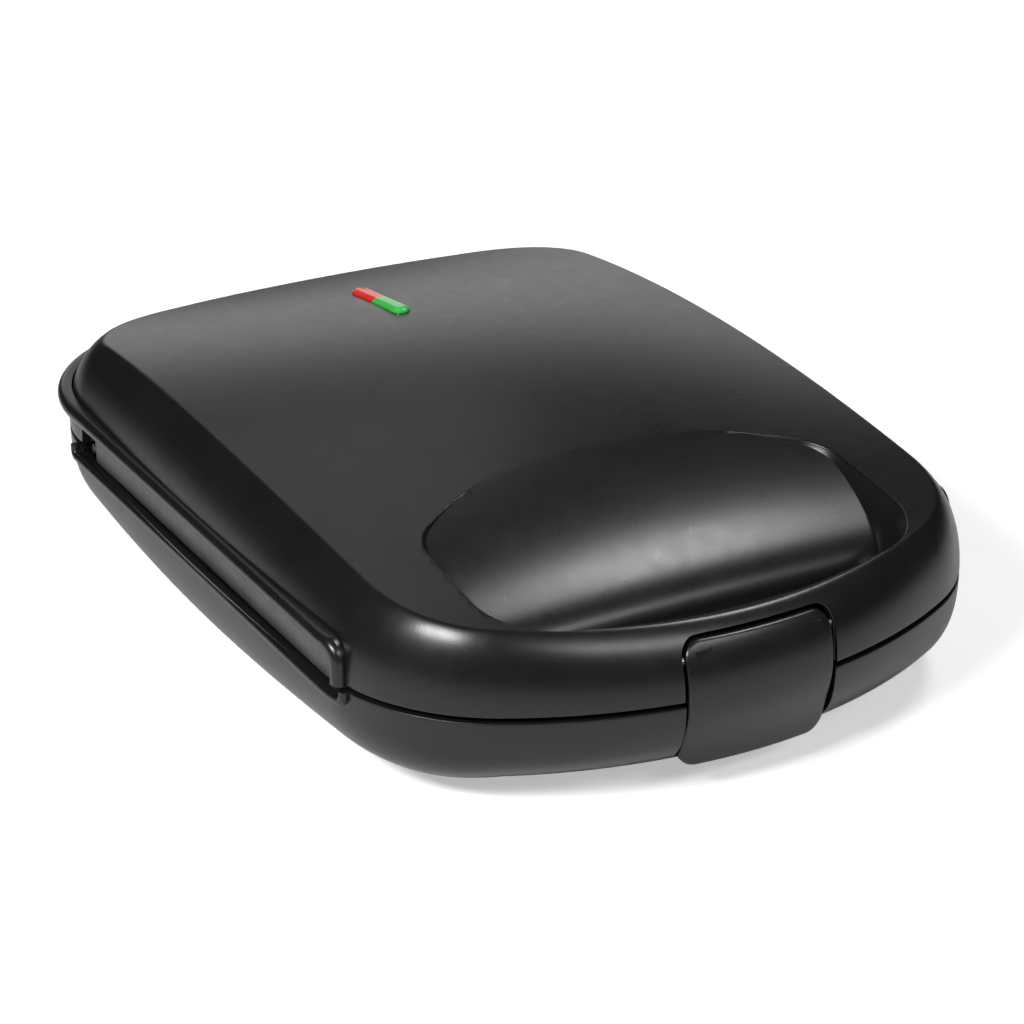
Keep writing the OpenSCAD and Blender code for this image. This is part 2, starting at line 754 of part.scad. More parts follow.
// A strap bent over the element's tube, with one ear on the plate's post
module element_clip() {
    r = element_r;
    difference() {
        translate([0, 5, 0]) rotate([90, 0, 0]) linear_extrude(10) {
            difference() {
                union() {
                    circle(r = r + 1);
                    translate([-r - 1, -r]) square([2 * r + 2, r]);
                }
                circle(r = r + 0.02);
                translate([-r - 0.02, -r - 1]) square([2 * r + 0.04, r + 1]);
            }
            translate([-clip_reach - 4.6, -r]) square([clip_reach + 4.6 - r - 0.02, 1]);
        }
        translate([-clip_reach, 0, -r - 1]) cylinder(r = screw_r + screw_fit, h = 3);
    }
}

module upper_element_clips() color([0.7, 0.7, 0.72]) {
    translate([0, plate_y, upper_back_z + element_r]) at_clips() element_clip($fn = 32);
}

module lower_element_clips() color([0.7, 0.7, 0.72]) {
    translate([0, plate_y, lower_back_z - element_r]) mirror([0, 0, 1]) at_clips() element_clip($fn = 32);
}

// Screws on the back of a plate: three for the clips and two for the tray
module inner_screws() {
    at_clips() translate([-clip_reach, 0, 1 + screw_head_h]) mirror([0, 0, 1]) screw(7);
    for (s = [-1, 1]) translate([0, s * tray_post_y, 2 * element_r + tray_gap + sheet + screw_head_h])
        mirror([0, 0, 1]) screw(8);
}

module upper_inner_screws() color([0.7, 0.7, 0.72]) {
    translate([0, plate_y, upper_back_z]) inner_screws($fn = 32);
}

module lower_inner_screws() color([0.7, 0.7, 0.72]) {
    translate([0, plate_y, lower_back_z]) mirror([0, 0, 1]) inner_screws($fn = 32);
    for (s = [-1, 1]) translate([0, plate_y + s * 12.5, parting_z - plate_gap / 2 - cast - 4 - screw_head_h])
        screw(6, $fn = 32);
}

// A folded steel tray behind the element, open at the back for the leads
module reflector(hole) {
    edge = 5;
    difference() {
        translate([0, 0, -edge]) linear_extrude(edge + sheet) rounded(2 * tray_half.x, 2 * tray_half.y, 6);
        translate([0, 0, -edge - 1]) linear_extrude(edge + 1)
            rounded(2 * (tray_half.x - sheet), 2 * (tray_half.y - sheet), 6 - sheet);
        box([-18, tray_half.y - 2, -edge - 1], [18, tray_half.y + 1, 0]);
        translate([0, 0, -1]) cylinder(r = hole, h = 4);
        for (s = [-1, 1]) translate([0, s * tray_post_y, -1]) cylinder(r = screw_r + screw_fit, h = 4);
        for (x = [-46, 46], y = [-44, 44]) translate([x, y, -1]) cylinder(r = 3, h = 4);
    }
}

module upper_reflector() color([0.78, 0.78, 0.8]) {
    translate([0, plate_y, upper_back_z + 2 * element_r + tray_gap]) reflector(6, $fn = 32);
}

module lower_reflector() color([0.78, 0.78, 0.8]) {
    translate([0, plate_y, lower_back_z - 2 * element_r - tray_gap])
        mirror([0, 0, 1]) reflector(13, $fn = 32);
}

// ---- controls and wiring ----

module thermostat() color([0.82, 0.8, 0.74]) {
    translate([0, plate_y, parting_z - plate_gap / 2 - cast]) {
        translate([0, 0, -4]) cylinder(r = 8, h = 4, $fn = 48);
        translate([0, 0, -11]) cylinder(r = 7, h = 7, $fn = 48);
        for (s = [-1, 1]) box([s * 5 - 3, -0.4, -18], [s * 5 + 3, 0.4, -11]);
        translate([0, 0, -4]) linear_extrude(1) difference() {
            pill(34, 12, $fn = 32);
            for (s = [-1, 1]) translate([0, s * 12.5]) circle(r = screw_r + screw_fit, $fn = 24);
        }
    }
}

module thermal_fuse() color([0.85, 0.84, 0.8]) {
    translate([24, plate_y + 60, lower_back_z - 2]) {
        x_rod(2, -10, 10, 0, 0, $fn = 32);
        x_rod(0.6, -20, 20, 0, 0, $fn = 20);
    }
}

module terminal_block() color([0.9, 0.88, 0.82]) {
    low = foot_h + wall;
    difference() {
        union() {
            box([-46, 126, low], [-16, 138, low + 11]);
            for (i = [0 : 2]) translate([-40 + 9 * i, 132, low]) cylinder(r = 4, h = 14, $fn = 32);
        }
        for (i = [0 : 2]) {
            translate([-40 + 9 * i, 132, low + 6]) cylinder(r = 2, h = 10, $fn = 32);
            y_rod(1.8, 120, 145, -40 + 9 * i, low + 4, $fn = 32);
        }
    }
}

// An insulated lead: a tube of six sides along a list of points
module lead(points, r) {
    last = len(points) - 1;
    loft([for (i = [0 : last])
        let (
            d = points[min(i + 1, last)] - points[max(i - 1, 0)],
            t = d / norm(d),
            c = cross(t, [0.9, 0.3, 0.3]),
            side = c / norm(c),
            up = cross(side, t)
        )
        [for (a = [0 : 60 : 300]) points[i] + r * (cos(a) * up + sin(a) * side)]]);
}

module base_wiring() color([0.75, 0.72, 0.66]) {
    z = foot_h + wall + 4;
    low = foot_h + wall + 1.9;
    e = lower_back_z - element_r;
    lead([[-40, 126, z], [-40, 114, z], [-32, 104, z], [-16, 96, e - 2], [-8, 88, e], [-7, 71.7, e]], 1.1);
    lead([[-31, 126, z], [-31, 112, z - 1.5], [-28, 90, low], [-20, 40, low], [-8, -2, low],
        [-5, plate_y, low + 2], [-5, plate_y, low + 5]], 1.1);
    lead([[5, plate_y, low + 5], [5.5, plate_y, low + 2], [14, 2, low], [40, 30, low], [46, 36, low + 1.2],
        [46, 37.4, low + 5], [45.4, 48, e + 1.2], [45, plate_y + 60, e + 1.4]], 1.1);
    lead([[3, plate_y + 60, e + 1.4], [0, 60, e + 1], [0, 76, e], [3, 79, e], [6.6, 77, e],
        [7, 71.7, e]], 1.1);
    lead([[-22, 126, z], [-22, 116, z], [-34, 106, z + 5], [-50, 99, z + 11], [-56, 95.1, z + 14]], 1.1);
}

module lid_wiring() color([0.75, 0.72, 0.66]) {
    z = upper_back_z + element_r;
    both_sides() {
        lead([[7, 71.7, z], [7, 82, z + 0.5], [9, 91, z - 0.5], [14, 98, z - 4], [24, 112, seam_z + 7],
            [36, 132, seam_z + 5]], 1.1);
        lead([[1.5, 107.4, seam_z + 26.6], [3.4, 108.6, seam_z + 24], [4.6, 112, seam_z + 20],
            [8, 121, seam_z + 13], [14, 130, seam_z + 7], [18, 138, seam_z + 4.8]], 0.8);
    }
}

// ---- screws, feet and gland ----

// A pan head screw with a cross recess; z = 0 is the face of its head
module screw(l) {
    difference() {
        union() {
            cylinder(r = screw_head_r, h = screw_head_h);
            cylinder(r = screw_r, h = l);
        }
        for (a = [0, 90]) rotate(a) translate([-1.7, -0.4, -1]) cube([3.4, 0.8, 2]);
    }
}

module lid_screws() color([0.7, 0.7, 0.72]) {
    at_points(lug_points)
        translate([0, 0, upper_lug_z - screw_head_h]) screw(14, $fn = 32);
    at_points(deck_screws) translate([0, 0, lid_deck_z + 0.2]) screw(12, $fn = 32);
    at_points(hinge_points) translate([0, 0, arm_z[0] - screw_head_h]) screw(14, $fn = 32);
}

module base_screws() color([0.7, 0.7, 0.72]) {
    at_points(lug_points)
        translate([0, 0, lower_lug_z + lug_t + screw_head_h]) mirror([0, 0, 1]) screw(14, $fn = 32);
    at_points(deck_screws)
        translate([0, 0, base_deck_z + deck_t - 0.2]) mirror([0, 0, 1]) screw(12, $fn = 32);
    at_points(hinge_points)
        translate([0, 0, bracket_z[1] + screw_head_h]) mirror([0, 0, 1]) screw(12, $fn = 32);
}

module rubber_feet() color([0.12, 0.12, 0.12]) {
    at_points(feet) {
        rotate_extrude($fn = 48) polygon([[0, 0], [7.5, 0], [8.6, 1], [9.4, foot_h], [0, foot_h]]);
        cylinder(r = 3, h = foot_h + foot_boss_h, $fn = 32);
        translate([0, 0, foot_h + foot_boss_h]) cylinder(r1 = 4.2, r2 = 2.2, h = 2.5, $fn = 32);
    }
}

module cord_gland() color([0.1, 0.1, 0.1]) {
    difference() {
        union() {
            y_rod(6, 157.6, 173, 0, gland_z, $fn = 48);
            y_rod(8.2, 170.4, 172.8, 0, gland_z, $fn = 48);
            y_rod(8.2, 157.6, 160, 0, gland_z, $fn = 48);
            translate([0, 172.8, gland_z]) rotate([-90, 0, 0]) cylinder(r1 = 7, r2 = 5.6, h = 5, $fn = 48);
        }
        y_rod(3.6, 150, 190, 0, gland_z, $fn = 48);
    }
}

// ---- hinge ----

module lid_hinge_arms() color([0.1, 0.1, 0.105]) {
    both_sides() difference() {
        translate([hinge_x - 8.5, 0, 0]) rotate([90, 0, 90]) linear_extrude(17) {
            translate([hinge_y, hinge_z]) circle(r = knuckle_r, $fn = 64);
            polygon([[146.4, arm_z[0]], [146.4, arm_z[1]], [166, arm_z[1]],
                [hinge_y + knuckle_r / 2, hinge_z + knuckle_r * 0.866], [hinge_y - 2, hinge_z - 1],
                [hinge_y - 6, arm_z[0]]]);
        }
        x_rod(hinge_pin_r + 0.05, hinge_x - 10, hinge_x + 10, hinge_y, hinge_z, $fn = 48);
        translate([hinge_x, hinge_screw_y, seam_z]) cylinder(r = screw_r + screw_fit, h = 12, $fn = 32);
    }
}

module base_hinge_brackets() color([0.1, 0.1, 0.105]) {
    both_sides() difference() {
        union() {
            for (s = [-1, 1]) translate([hinge_x + s * 11.25 - 2.25, 0, 0])
                rotate([90, 0, 90]) linear_extrude(4.5) {
                    translate([hinge_y, hinge_z]) circle(r = knuckle_r, $fn = 64);
                    polygon([[146.4, bracket_z[0]], [146.4, bracket_z[1]], [164, bracket_z[1]],
                        [hinge_y - 4, hinge_z + 2], [hinge_y + 3, hinge_z - knuckle_r * 0.866],
                        [166, bracket_z[0]]]);
                }
            box([hinge_x - 13.5, 146.4, bracket_z[0]], [hinge_x + 13.5, 156.5, bracket_z[1]]);
        }
        x_rod(hinge_pin_r, hinge_x - 20, hinge_x + 20, hinge_y, hinge_z, $fn = 48);
        translate([hinge_x, hinge_screw_y, 0]) cylinder(r = screw_r + screw_fit, h = 50, $fn = 32);
    }
}

module hinge_pins() color([0.75, 0.75, 0.77]) {
    both_sides() {
        x_rod(hinge_pin_r, hinge_x - 13.5, hinge_x + 13.5, hinge_y, hinge_z);
        x_rod(hinge_pin_r + 1.2, hinge_x + 13.5, hinge_x + 14.7, hinge_y, hinge_z);
    }
}

// ---- indicator ----

// Carries what follows to the lid's top at the lens, tilted with it
module lens_frame() {
    slope = atan((top_z(0, lens_y + 10) - top_z(0, lens_y - 10)) / 20);
    translate([0, lens_y, top_z(0, lens_y)]) rotate([slope, 0, 0]) children();
}

// One half of the lens bar: a flange under the lid and a bevelled top
module lens(end) {
    lens_frame() intersection() {
        union() {
            translate([0, 0, lens_low]) linear_extrude(1) pill(lens_l + 3, lens_w + 3);
            hull() {
                translate([0, 0, lens_low]) linear_extrude(0.6 - lens_low) pill(lens_l, lens_w);
                translate([0, 0, 1.5]) linear_extrude(0.1) pill(lens_l - 3, lens_w - 3.2);
            }
        }
        box([-10, end > 0 ? 0.03 : -40, -10], [10, end > 0 ? 40 : -0.03, 10]);
    }
}

module indicator_lens_red() color([0.8, 0.06, 0.05, 0.85]) lens(1, $fn = 24);

module indicator_lens_green() color([0.1, 0.75, 0.15, 0.85]) lens(-1, $fn = 24);

module lamp_holder() color([0.85, 0.85, 0.82]) {
    lens_frame() translate([0, 0, holder_low]) difference() {
        union() {
            linear_extrude(8.4) rounded(12, 46, 2, $fn = 32);
            translate([0, 0, 2]) linear_extrude(2) pill(64, 8, $fn = 32);
        }
        translate([0, 0, -1]) linear_extrude(8.2) rounded(9.4, 43.4, 1.2, $fn = 32);
        translate([0, 0, 5]) linear_extrude(5) pill(37, 4.6, $fn = 32);
        box([-2.6, 20, -1], [2.6, 24, 2]);
        for (s = [-1, 1]) translate([0, s * 28, 1]) cylinder(r = 1.4, h = 4, $fn = 24);
    }
}

module lamp_holder_screws() color([0.7, 0.7, 0.72]) {
    lens_frame() for (s = [-1, 1]) translate([0, s * 28, holder_low + 1]) {
        cylinder(r = 2.4, h = 1, $fn = 32);
        cylinder(r = 1.15, h = 6, $fn = 32);
    }
}

module pilot_lamps() color([0.95, 0.7, 0.5, 0.6]) {
    lens_frame() for (s = [-1, 1]) {
        y_rod(2.3, s * 10 - 7, s * 10 + 5, 0, holder_low + 3.2, $fn = 32);
        translate([0, s * 10 + 5, holder_low + 3.2]) sphere(r = 2.3, $fn = 32);
    }
}

// ---- latch ----

latch_centre_y = front_y + body_arcs[0];

// Turns a side view into a curved shell that follows the front of the body
module round_front(half_angle) {
    translate([0, latch_centre_y, 0]) rotate(-90 - half_angle)
        rotate_extrude(angle = 2 * half_angle, $fn = 200) children();
}

// How far the lid's front, and the latch below the seam, have come in at a height above the seam
function latch_inset(h) =
    h > 0
        ? shoulder_front * swell(crease_t * h / lid_front_h, lid_round) / swell(crease_t, lid_round)
        : 3 * (1 - cos(180 * h / 28));
lid_front_h = top_z(0, front_y + shoulder_front) - seam_z;
latch_heights = concat(
    [for (i = [0 : 6]) latch_top * (1 - i / 6)],
    [for (i = [1 : 8]) -latch_bottom * i / 8]
);

// The latch's skin in side view, as a distance from the front arc's centre and a height
latch_profile = concat(
    [for (h = latch_heights) [body_arcs[0] - latch_inset(h), seam_z + h]],
    [for (i = [len(latch_heights) - 1 : -1 : 0])
        [body_arcs[0] - latch_inset(latch_heights[i]) - latch_skin, seam_z + latch_heights[i]]]
);

module latch_outline() {
    r = latch_corner;
    translate([-latch_half, seam_z - latch_bottom + r])
        square([2 * latch_half, latch_top + latch_bottom - 2 * r]);
    translate([-latch_half + r, seam_z - latch_bottom])
        square([2 * (latch_half - r), latch_top + latch_bottom]);
    for (s = [-1, 1]) translate([s * (latch_half - r), 0]) {
        translate([0, seam_z + latch_top - r]) circle(r = r);
        translate([0, seam_z - latch_bottom + r]) circle(r = r);
    }
}

// The tongue that reaches under the keeper in the base's front
module latch_tongue() {
    translate([-12, 0, 0]) rotate([90, 0, 90]) linear_extrude(24) polygon([
        [notch_y - 8.2, keeper_z[1] - 0.4],
        [notch_y + 3.2, keeper_z[1] - 0.4],
        [notch_y + 3.9, keeper_z[1] - 1.2],
        [notch_y + 3.4, keeper_z[1] - 2.6],
        [notch_y - 3.8, keeper_z[1] - 3.6],
        [notch_y - 7.8, keeper_z[1] - 5.4]
    ]);
}

module latch() color([0.1, 0.1, 0.105]) {
    difference() {
        union() {
            intersection() {
                round_front(10) polygon(latch_profile);
                translate([0, -150, 0]) rotate([90, 0, 0]) linear_extrude(60) latch_outline($fn = 40);
            }
            for (s = [-1, 1]) translate([s * 18 - 5, 0, 0]) rotate([90, 0, 90]) linear_extrude(10) {
                translate([pivot_y, pivot_z]) circle(r = 3.3, $fn = 40);
                polygon([[pivot_y - 4.4, pivot_z - 3.3], [pivot_y, pivot_z - 3.3],
                    [pivot_y, pivot_z + 3.3], [pivot_y - 2.6, pivot_z + 3.3]]);
            }
            latch_tongue();
        }
        x_rod(latch_pin_r + 0.05, -40, 40, pivot_y, pivot_z, $fn = 32);
    }
}

module latch_pin() color([0.75, 0.75, 0.77]) {
    x_rod(latch_pin_r, -latch_half - 5, latch_half + 5, pivot_y, pivot_z, $fn = 32);
}

// A strip of the recess's front wall, which closes the way to the latch's pin
module latch_cover() color([0.08, 0.08, 0.085]) {
    resize([2 * cover_half, 0, 0]) intersection() {
        difference() {
            recess_form(recess_wall);
            recess_form(0);
        }
        box([-cover_half, -180, cover_z[0]], [cover_half, -150, cover_z[1]]);
    }
}

base_housing();
base_front_deck();
base_rear_deck();
lower_plate();
lower_element();
lower_element_clips();
lower_inner_screws();
lower_reflector();
thermostat();
thermal_fuse();
terminal_block();
base_wiring();
base_screws();
cord_gland();
rubber_feet();
base_hinge_brackets();
hinge_pins();
lid_housing();
lid_front_deck();
lid_rear_deck();
upper_plate();
upper_element();
upper_element_clips();
upper_inner_screws();
upper_reflector();
lid_wiring();
lid_screws();
lid_hinge_arms();
indicator_lens_red();
indicator_lens_green();
lamp_holder();
lamp_holder_screws();
pilot_lamps();
latch_pin();
latch_cover();
latch();
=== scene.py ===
import json
import math

import bmesh
import bpy
import numpy as np
from mathutils import Matrix, Vector


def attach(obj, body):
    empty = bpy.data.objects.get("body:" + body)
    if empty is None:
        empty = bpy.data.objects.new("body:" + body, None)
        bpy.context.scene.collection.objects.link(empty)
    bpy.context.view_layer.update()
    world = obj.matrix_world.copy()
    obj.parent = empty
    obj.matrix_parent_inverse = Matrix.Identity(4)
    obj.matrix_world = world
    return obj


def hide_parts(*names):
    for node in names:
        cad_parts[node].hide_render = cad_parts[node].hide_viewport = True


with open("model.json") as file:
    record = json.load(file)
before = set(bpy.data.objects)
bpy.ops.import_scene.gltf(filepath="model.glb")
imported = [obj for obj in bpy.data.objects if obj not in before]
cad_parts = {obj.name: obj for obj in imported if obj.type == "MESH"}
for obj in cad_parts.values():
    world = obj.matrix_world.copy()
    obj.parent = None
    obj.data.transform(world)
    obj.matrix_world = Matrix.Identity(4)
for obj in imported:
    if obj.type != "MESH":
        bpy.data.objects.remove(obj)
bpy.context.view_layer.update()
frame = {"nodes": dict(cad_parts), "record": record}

# Lengths are in millimetres until a mesh is made, in the frame of the CAD.
MM = 0.001

# ---- the body's form, as in the part's source ----

HALF_WIDTH, FRONT_Y, BACK_Y, WIDEST_Y = 117.0, -181.2, 170.7, -10.8
SEAM_Z, SEAM_GAP, FOOT_H, WALL = 37.0, 1.8, 6.0, 2.4
BASE_TOP, BASE_H = SEAM_Z - SEAM_GAP, SEAM_Z - FOOT_H
# The dome: its height in the middle, how much lower it is along the sides, its fall along the body as
# a polynomial of the distance in decimetres, and its half width and half length
DOME_H, DOME_DROP = 43.7, 6.4
DOME_FALL = (3.8, -4.4, -0.8)
DOME_HALF_X, DOME_HALF_Y = 103.7, 1.57
# Insets of the lid's shoulder and of the base's keel: side, front, back, front corner, back corner
SHOULDER = (13.3, 9.7, 27.8, -3.1, 0.6)
KEEL = (16.3, 46.0, 25.8, -2.7, 9.8)
KEEL_FLANK = (8.4, -3.1)
LID_ROUND, CREASE_T, KEEL_ROUND = 2.05, 0.88, 2.76
# Radii of the outlines' arcs: front, front corner, side, back corner, back
BODY_ARCS = (168.8, 64.8, 2559.0, 62.8, 316.4)
RECESS_ARCS = (201.0, 26.0, 600.0, 20.0, 118.0)
RECESS_HALF, RECESS_FRONT, RECESS_BACK, RECESS_WIDEST = 78.2, -169.2, -67.9, -124.0
RECESS_FLOOR, ROLL_L, RECESS_WALL, RECESS_DEPTH = 6.0, 72.0, 2.2, 36.0
RECESS_DRAFT = (9.0, 8.0, 9.0, 0.0, 0.0)
# The roll's top: how far it lies under the dome, and how much lower it is at a distance from the middle
ROLL_UNDER, ROLL_CROWN, ROLL_CROWN_X = 4.3, 1.8, 70.0
# Roundings of the recess's rim and of the mouldings' edges
LIP_R, EDGE_R = 0.9, 0.5
WINDOW_FRONT, WINDOW_BACK, WINDOW_TOP, WINDOW_BOTTOM, WINDOW_CORNER = -114.8, 101.3, 9.9, 3.9, 0.4
BEAD_R, BEAD_BEND, BEAD_X, BEAD_WEB = 2.8, 5.0, 115.7, 2.4
LOW_BEAD_R, LOW_BEAD_BEND = 1.7, 2.4
# Centres of the corners that the beads turn, and how far round each of them the two beads go
BEAD_CORNERS = ((50.5, -103.3), (51.6, 101.4))
BEAD_TURNS, LOW_BEAD_TURNS = (-10.0, 62.0), (-12.0, 4.5)
BEAD_Z = SEAM_Z + WINDOW_TOP + 2.1
LOW_BEAD_Z = SEAM_Z - WINDOW_BOTTOM - 2.0
PLATE_Y = (WINDOW_FRONT + WINDOW_BACK) / 2
# The latch, the slot and the notch round it, and how far it tucks in below the seam
LATCH_HALF, LATCH_TOP, LATCH_BOTTOM, LATCH_SKIN, LATCH_CORNER = 26.6, 18.2, 26.0, 2.6, 6.0
LATCH_TUCK, LATCH_TUCK_H = 3.0, 28.0
SLOT_HALF, SLOT_TOP, SLOT_BACK, NOTCH_Y = LATCH_HALF + 1, SEAM_Z + 19.5, -168.0, -170.0
PIVOT = (-174.1, SEAM_Z + 12)
BARREL_X, BARREL_R, BARREL_HALF, PIN_HOLE_R = 18.0, 3.3, 5.0, 1.55
KEEPER_HALF, KEEPER_LOW, KEEPER_TOP, TONGUE_HALF = 13.0, SEAM_Z - 13.8, SEAM_Z - 8.3, 12.0
LENS_L, LENS_W, LENS_Y, LENS_LOW, LENS_FLANGE = 40.0, 7.0, 83.7, -4.1, 1.0
# The feet's screw bosses, the slots for the hinge, the cord gland's hole and the vents
FEET = ((74, -92), (-74, -92), (70, 118), (-70, 118))
FOOT_BOSS_R, FOOT_BOSS_H, FOOT_HOLE_R = 6.0, 3.4, 3.1
HINGE_X, HINGE_FRONT, ARM_SLOT_HALF, ARM_SLOT_H = 58.0, 146.0, 9.2, 9.2
BRACKET_X, BRACKET_SLOT_HALF, BRACKET_SLOT_H = 11.25, 2.6, 7.6
GLAND_Z, GLAND_HOLE_R = 21.5, 6.1
VENT_X, VENT_PITCH, VENT_L, VENT_W, VENT_ROWS = 38, 9, 34, 3.0, 7
# A plane behind and one before everything that a cutter has to pass
FAR_FRONT, FAR_BACK = -200.0, 190.0


def tangent_centre(ca, ra, cb, rb, r, side):
    a, b = ra - r, rb - r
    d = np.linalg.norm(cb - ca)
    k = (a * a - b * b + d * d) / (2 * d)
    e = (cb - ca) / d
    return ca + k * e + side * math.sqrt(a * a - k * k) * np.array([-e[1], e[0]])


def half_outline(half, front, back, widest, arcs, pitch):
    """Rows of x, y and the direction of the normal, along five tangent arcs from front to back."""
    c1 = np.array([0.0, front + arcs[0]])
    c3 = np.array([half - arcs[2], widest])
    c5 = np.array([0.0, back - arcs[4]])
    c2 = tangent_centre(c1, arcs[0], c3, arcs[2], arcs[1], 1)
    c4 = tangent_centre(c5, arcs[4], c3, arcs[2], arcs[3], -1)

    def heading(a, b):
        return math.atan2(b[1] - a[1], b[0] - a[0])

    turns = [-math.pi / 2, heading(c1, c2), heading(c3, c2), heading(c3, c4), heading(c5, c4), math.pi / 2]
    rows = []
    for i, (c, r) in enumerate(zip((c1, c2, c3, c4, c5), arcs)):
        span = turns[i + 1] - turns[i]
        n = max(2, math.ceil(abs(r * span) / pitch))
        for j in range(0 if i == 0 else 1, n + 1):
            a = turns[i] + span * j / n
            rows.append((c[0] + r * math.cos(a), c[1] + r * math.sin(a), a))
    return np.array(rows)


def both_halves(h):
    other = h[-2:0:-1].copy()
    other[:, 0] *= -1
    other[:, 2] = math.pi - other[:, 2]
    return np.concatenate([h, other])


def body_outline(pitch):
    return both_halves(half_outline(HALF_WIDTH, FRONT_Y, BACK_Y, WIDEST_Y, BODY_ARCS, pitch))


def recess_outline(pitch):
    half = half_outline(RECESS_HALF, RECESS_FRONT, RECESS_BACK, RECESS_WIDEST, RECESS_ARCS, pitch)
    return both_halves(half)


def inset(p, d):
    """Points of an outline, moved inwards by d."""
    return np.column_stack([p[:, 0] - d * np.cos(p[:, 2]), p[:, 1] - d * np.sin(p[:, 2])])


def swell(t, m):
    """How far a quarter of a superellipse has come in at the share t of its height."""
    return 1 - (1 - np.minimum(t, 1.0) ** m) ** (1 / m)


def around(a, side, front, back, front_corner, back_corner):
    """An inset that changes with the normal's direction, from side to front and back."""
    s = np.sin(a)
    at_front = s < 0
    return (
        side
        + (np.where(at_front, front, back) - side) * s**2
        + np.where(at_front, front_corner, back_corner) * np.sin(2 * a) ** 2
    )


def keel(p):
    """How far the base draws in; the flanks are deeper towards both ends."""
    q = (p[:, 1] - WIDEST_Y) / 100
    flank = np.abs(np.cos(p[:, 2])) ** 8
    return around(p[:, 2], *KEEL) + flank * (KEEL_FLANK[0] * q * q + KEEL_FLANK[1] * q)


def top_z(x, y):
    """Height of the lid's top."""
    q = (y - WIDEST_Y) / 100
    fall = DOME_FALL[0] * q + DOME_FALL[1] * q * q + DOME_FALL[2] * q**3
    dome = DOME_DROP * (1 - (x / DOME_HALF_X) ** 2) * (1 - (q / DOME_HALF_Y) ** 2)
    return SEAM_Z + DOME_H - DOME_DROP + fall + dome


def at_height(xy, z):
    return np.column_stack([xy, np.broadcast_to(z, len(xy))])


def lid_ring(o, t, d=0.0):
    """The lid's shoulder at the share t of its height, offset inwards by d."""
    depth = around(o[:, 2], *SHOULDER)
    edge = inset(o, depth)
    xy = inset(o, depth * swell(t, LID_ROUND) / swell(CREASE_T, LID_ROUND) + d)
    return at_height(xy, SEAM_Z + (top_z(edge[:, 0], edge[:, 1]) - SEAM_Z - d) * t / CREASE_T)


def top_ring(o, k, d=0.0, more=0.0):
    """A ring on the lid's top: the crease's line moved in by more, and drawn in to the share k."""
    xy = inset(o, around(o[:, 2], *SHOULDER) + d + more)
    x, y = xy[:, 0] * k, WIDEST_Y + (xy[:, 1] - WIDEST_Y) * k
    return np.column_stack([x, y, top_z(x, y) - d])


def base_ring(o, t, d=0.0):
    """The base's hull at the share t of its depth, offset inwards by d."""
    return at_height(inset(o, keel(o) * swell(t, KEEL_ROUND) + d), SEAM_Z - (BASE_H - d) * t)


def lifted(ring, z):
    return at_height(ring[:, :2], z)


def superellipse_steps(m, end, n):
    """Shares of a superellipse's height from 0 to end, evenly spread along its curve."""
    last = math.asin(end ** (m / 2))
    return [math.sin(last * i / n) ** (2 / m) for i in range(n + 1)]


# ---- meshes ----


def new_object(name, verts, faces):
    """A closed mesh from points in millimetres, with its normals outwards."""
    mesh = bpy.data.meshes.new(name)
    mesh.from_pydata((np.asarray(verts, float) * MM).tolist(), [], faces)
    bm = bmesh.new()
    bm.from_mesh(mesh)
    bmesh.ops.recalc_face_normals(bm, faces=bm.faces)
    bm.to_mesh(mesh)
    bm.free()
    obj = bpy.data.objects.new(name, mesh)
    bpy.context.scene.collection.objects.link(obj)
    return obj


def loft(name, rings):
    """A closed solid through rings of the same number of points."""
    n, m = len(rings[0]), len(rings)
    faces = []
    for j in range(m - 1):
        for i in range(n):
            a, b = j * n + i, j * n + (i + 1) % n
            faces.append((a, b, b + n, a + n))
    verts = np.concatenate(rings)
    ends = np.array([rings[0].mean(0), rings[-1].mean(0)])
    first, last = len(verts), len(verts) + 1
    for i in range(n):
        j = (i + 1) % n
        faces.append((first, j, i))
        faces.append((last, (m - 1) * n + i, (m - 1) * n + j))
    return new_object(name, np.concatenate([verts, ends]), faces)


def boolean(obj, other, operation):
    """obj joined with, cut by or kept within another solid, which is used up."""
    modifier = obj.modifiers.new("solid", "BOOLEAN")
    modifier.operation = operation
    modifier.object = other
    modifier.solver = "MANIFOLD"
    graph = bpy.context.evaluated_depsgraph_get()
    mesh = bpy.data.meshes.new_from_object(obj.evaluated_get(graph))
    obj.modifiers.clear()
    old = obj.data
    obj.data = mesh
    bpy.data.meshes.remove(old)
    bpy.data.objects.remove(other)
    return obj


def cut(obj, *others):
    for other in others:
        boolean(obj, other, "DIFFERENCE")
    return obj


def join(obj, *others):
    for other in others:
        boolean(obj, other, "UNION")
    return obj


def mirrored(obj, axis=0):
    """A copy of obj, mirrored across a plane through the origin."""
    other = obj.copy()
    other.data = obj.data.copy()
    bpy.context.scene.collection.objects.link(other)
    flip = [1, 1, 1]
    flip[axis] = -1
    other.data.transform(Matrix.Diagonal((*flip, 1)))
    other.data.flip_normals()
    return other


def prism(name, outline, axis, low, high):
    """A straight solid over an outline. Along X the outline is (y, z), along Y (x, z), along Z (x, y)."""
    rest = [i for i in range(3) if i != axis]
    rings = []
    for at in (low, high):
        ring = np.zeros((len(outline), 3))
        ring[:, axis] = at
        ring[:, rest] = outline
        rings.append(ring)
    return loft(name, rings)


def box(name, low, high):
    corners = [(low[0], low[1]), (high[0], low[1]), (high[0], high[1]), (low[0], high[1])]
    return prism(name, corners, 2, low[2], high[2])


def circle(centre, r, n=48):
    turns = [2 * math.pi * i / n for i in range(n)]
    return [(centre[0] + r * math.cos(a), centre[1] + r * math.sin(a)) for a in turns]


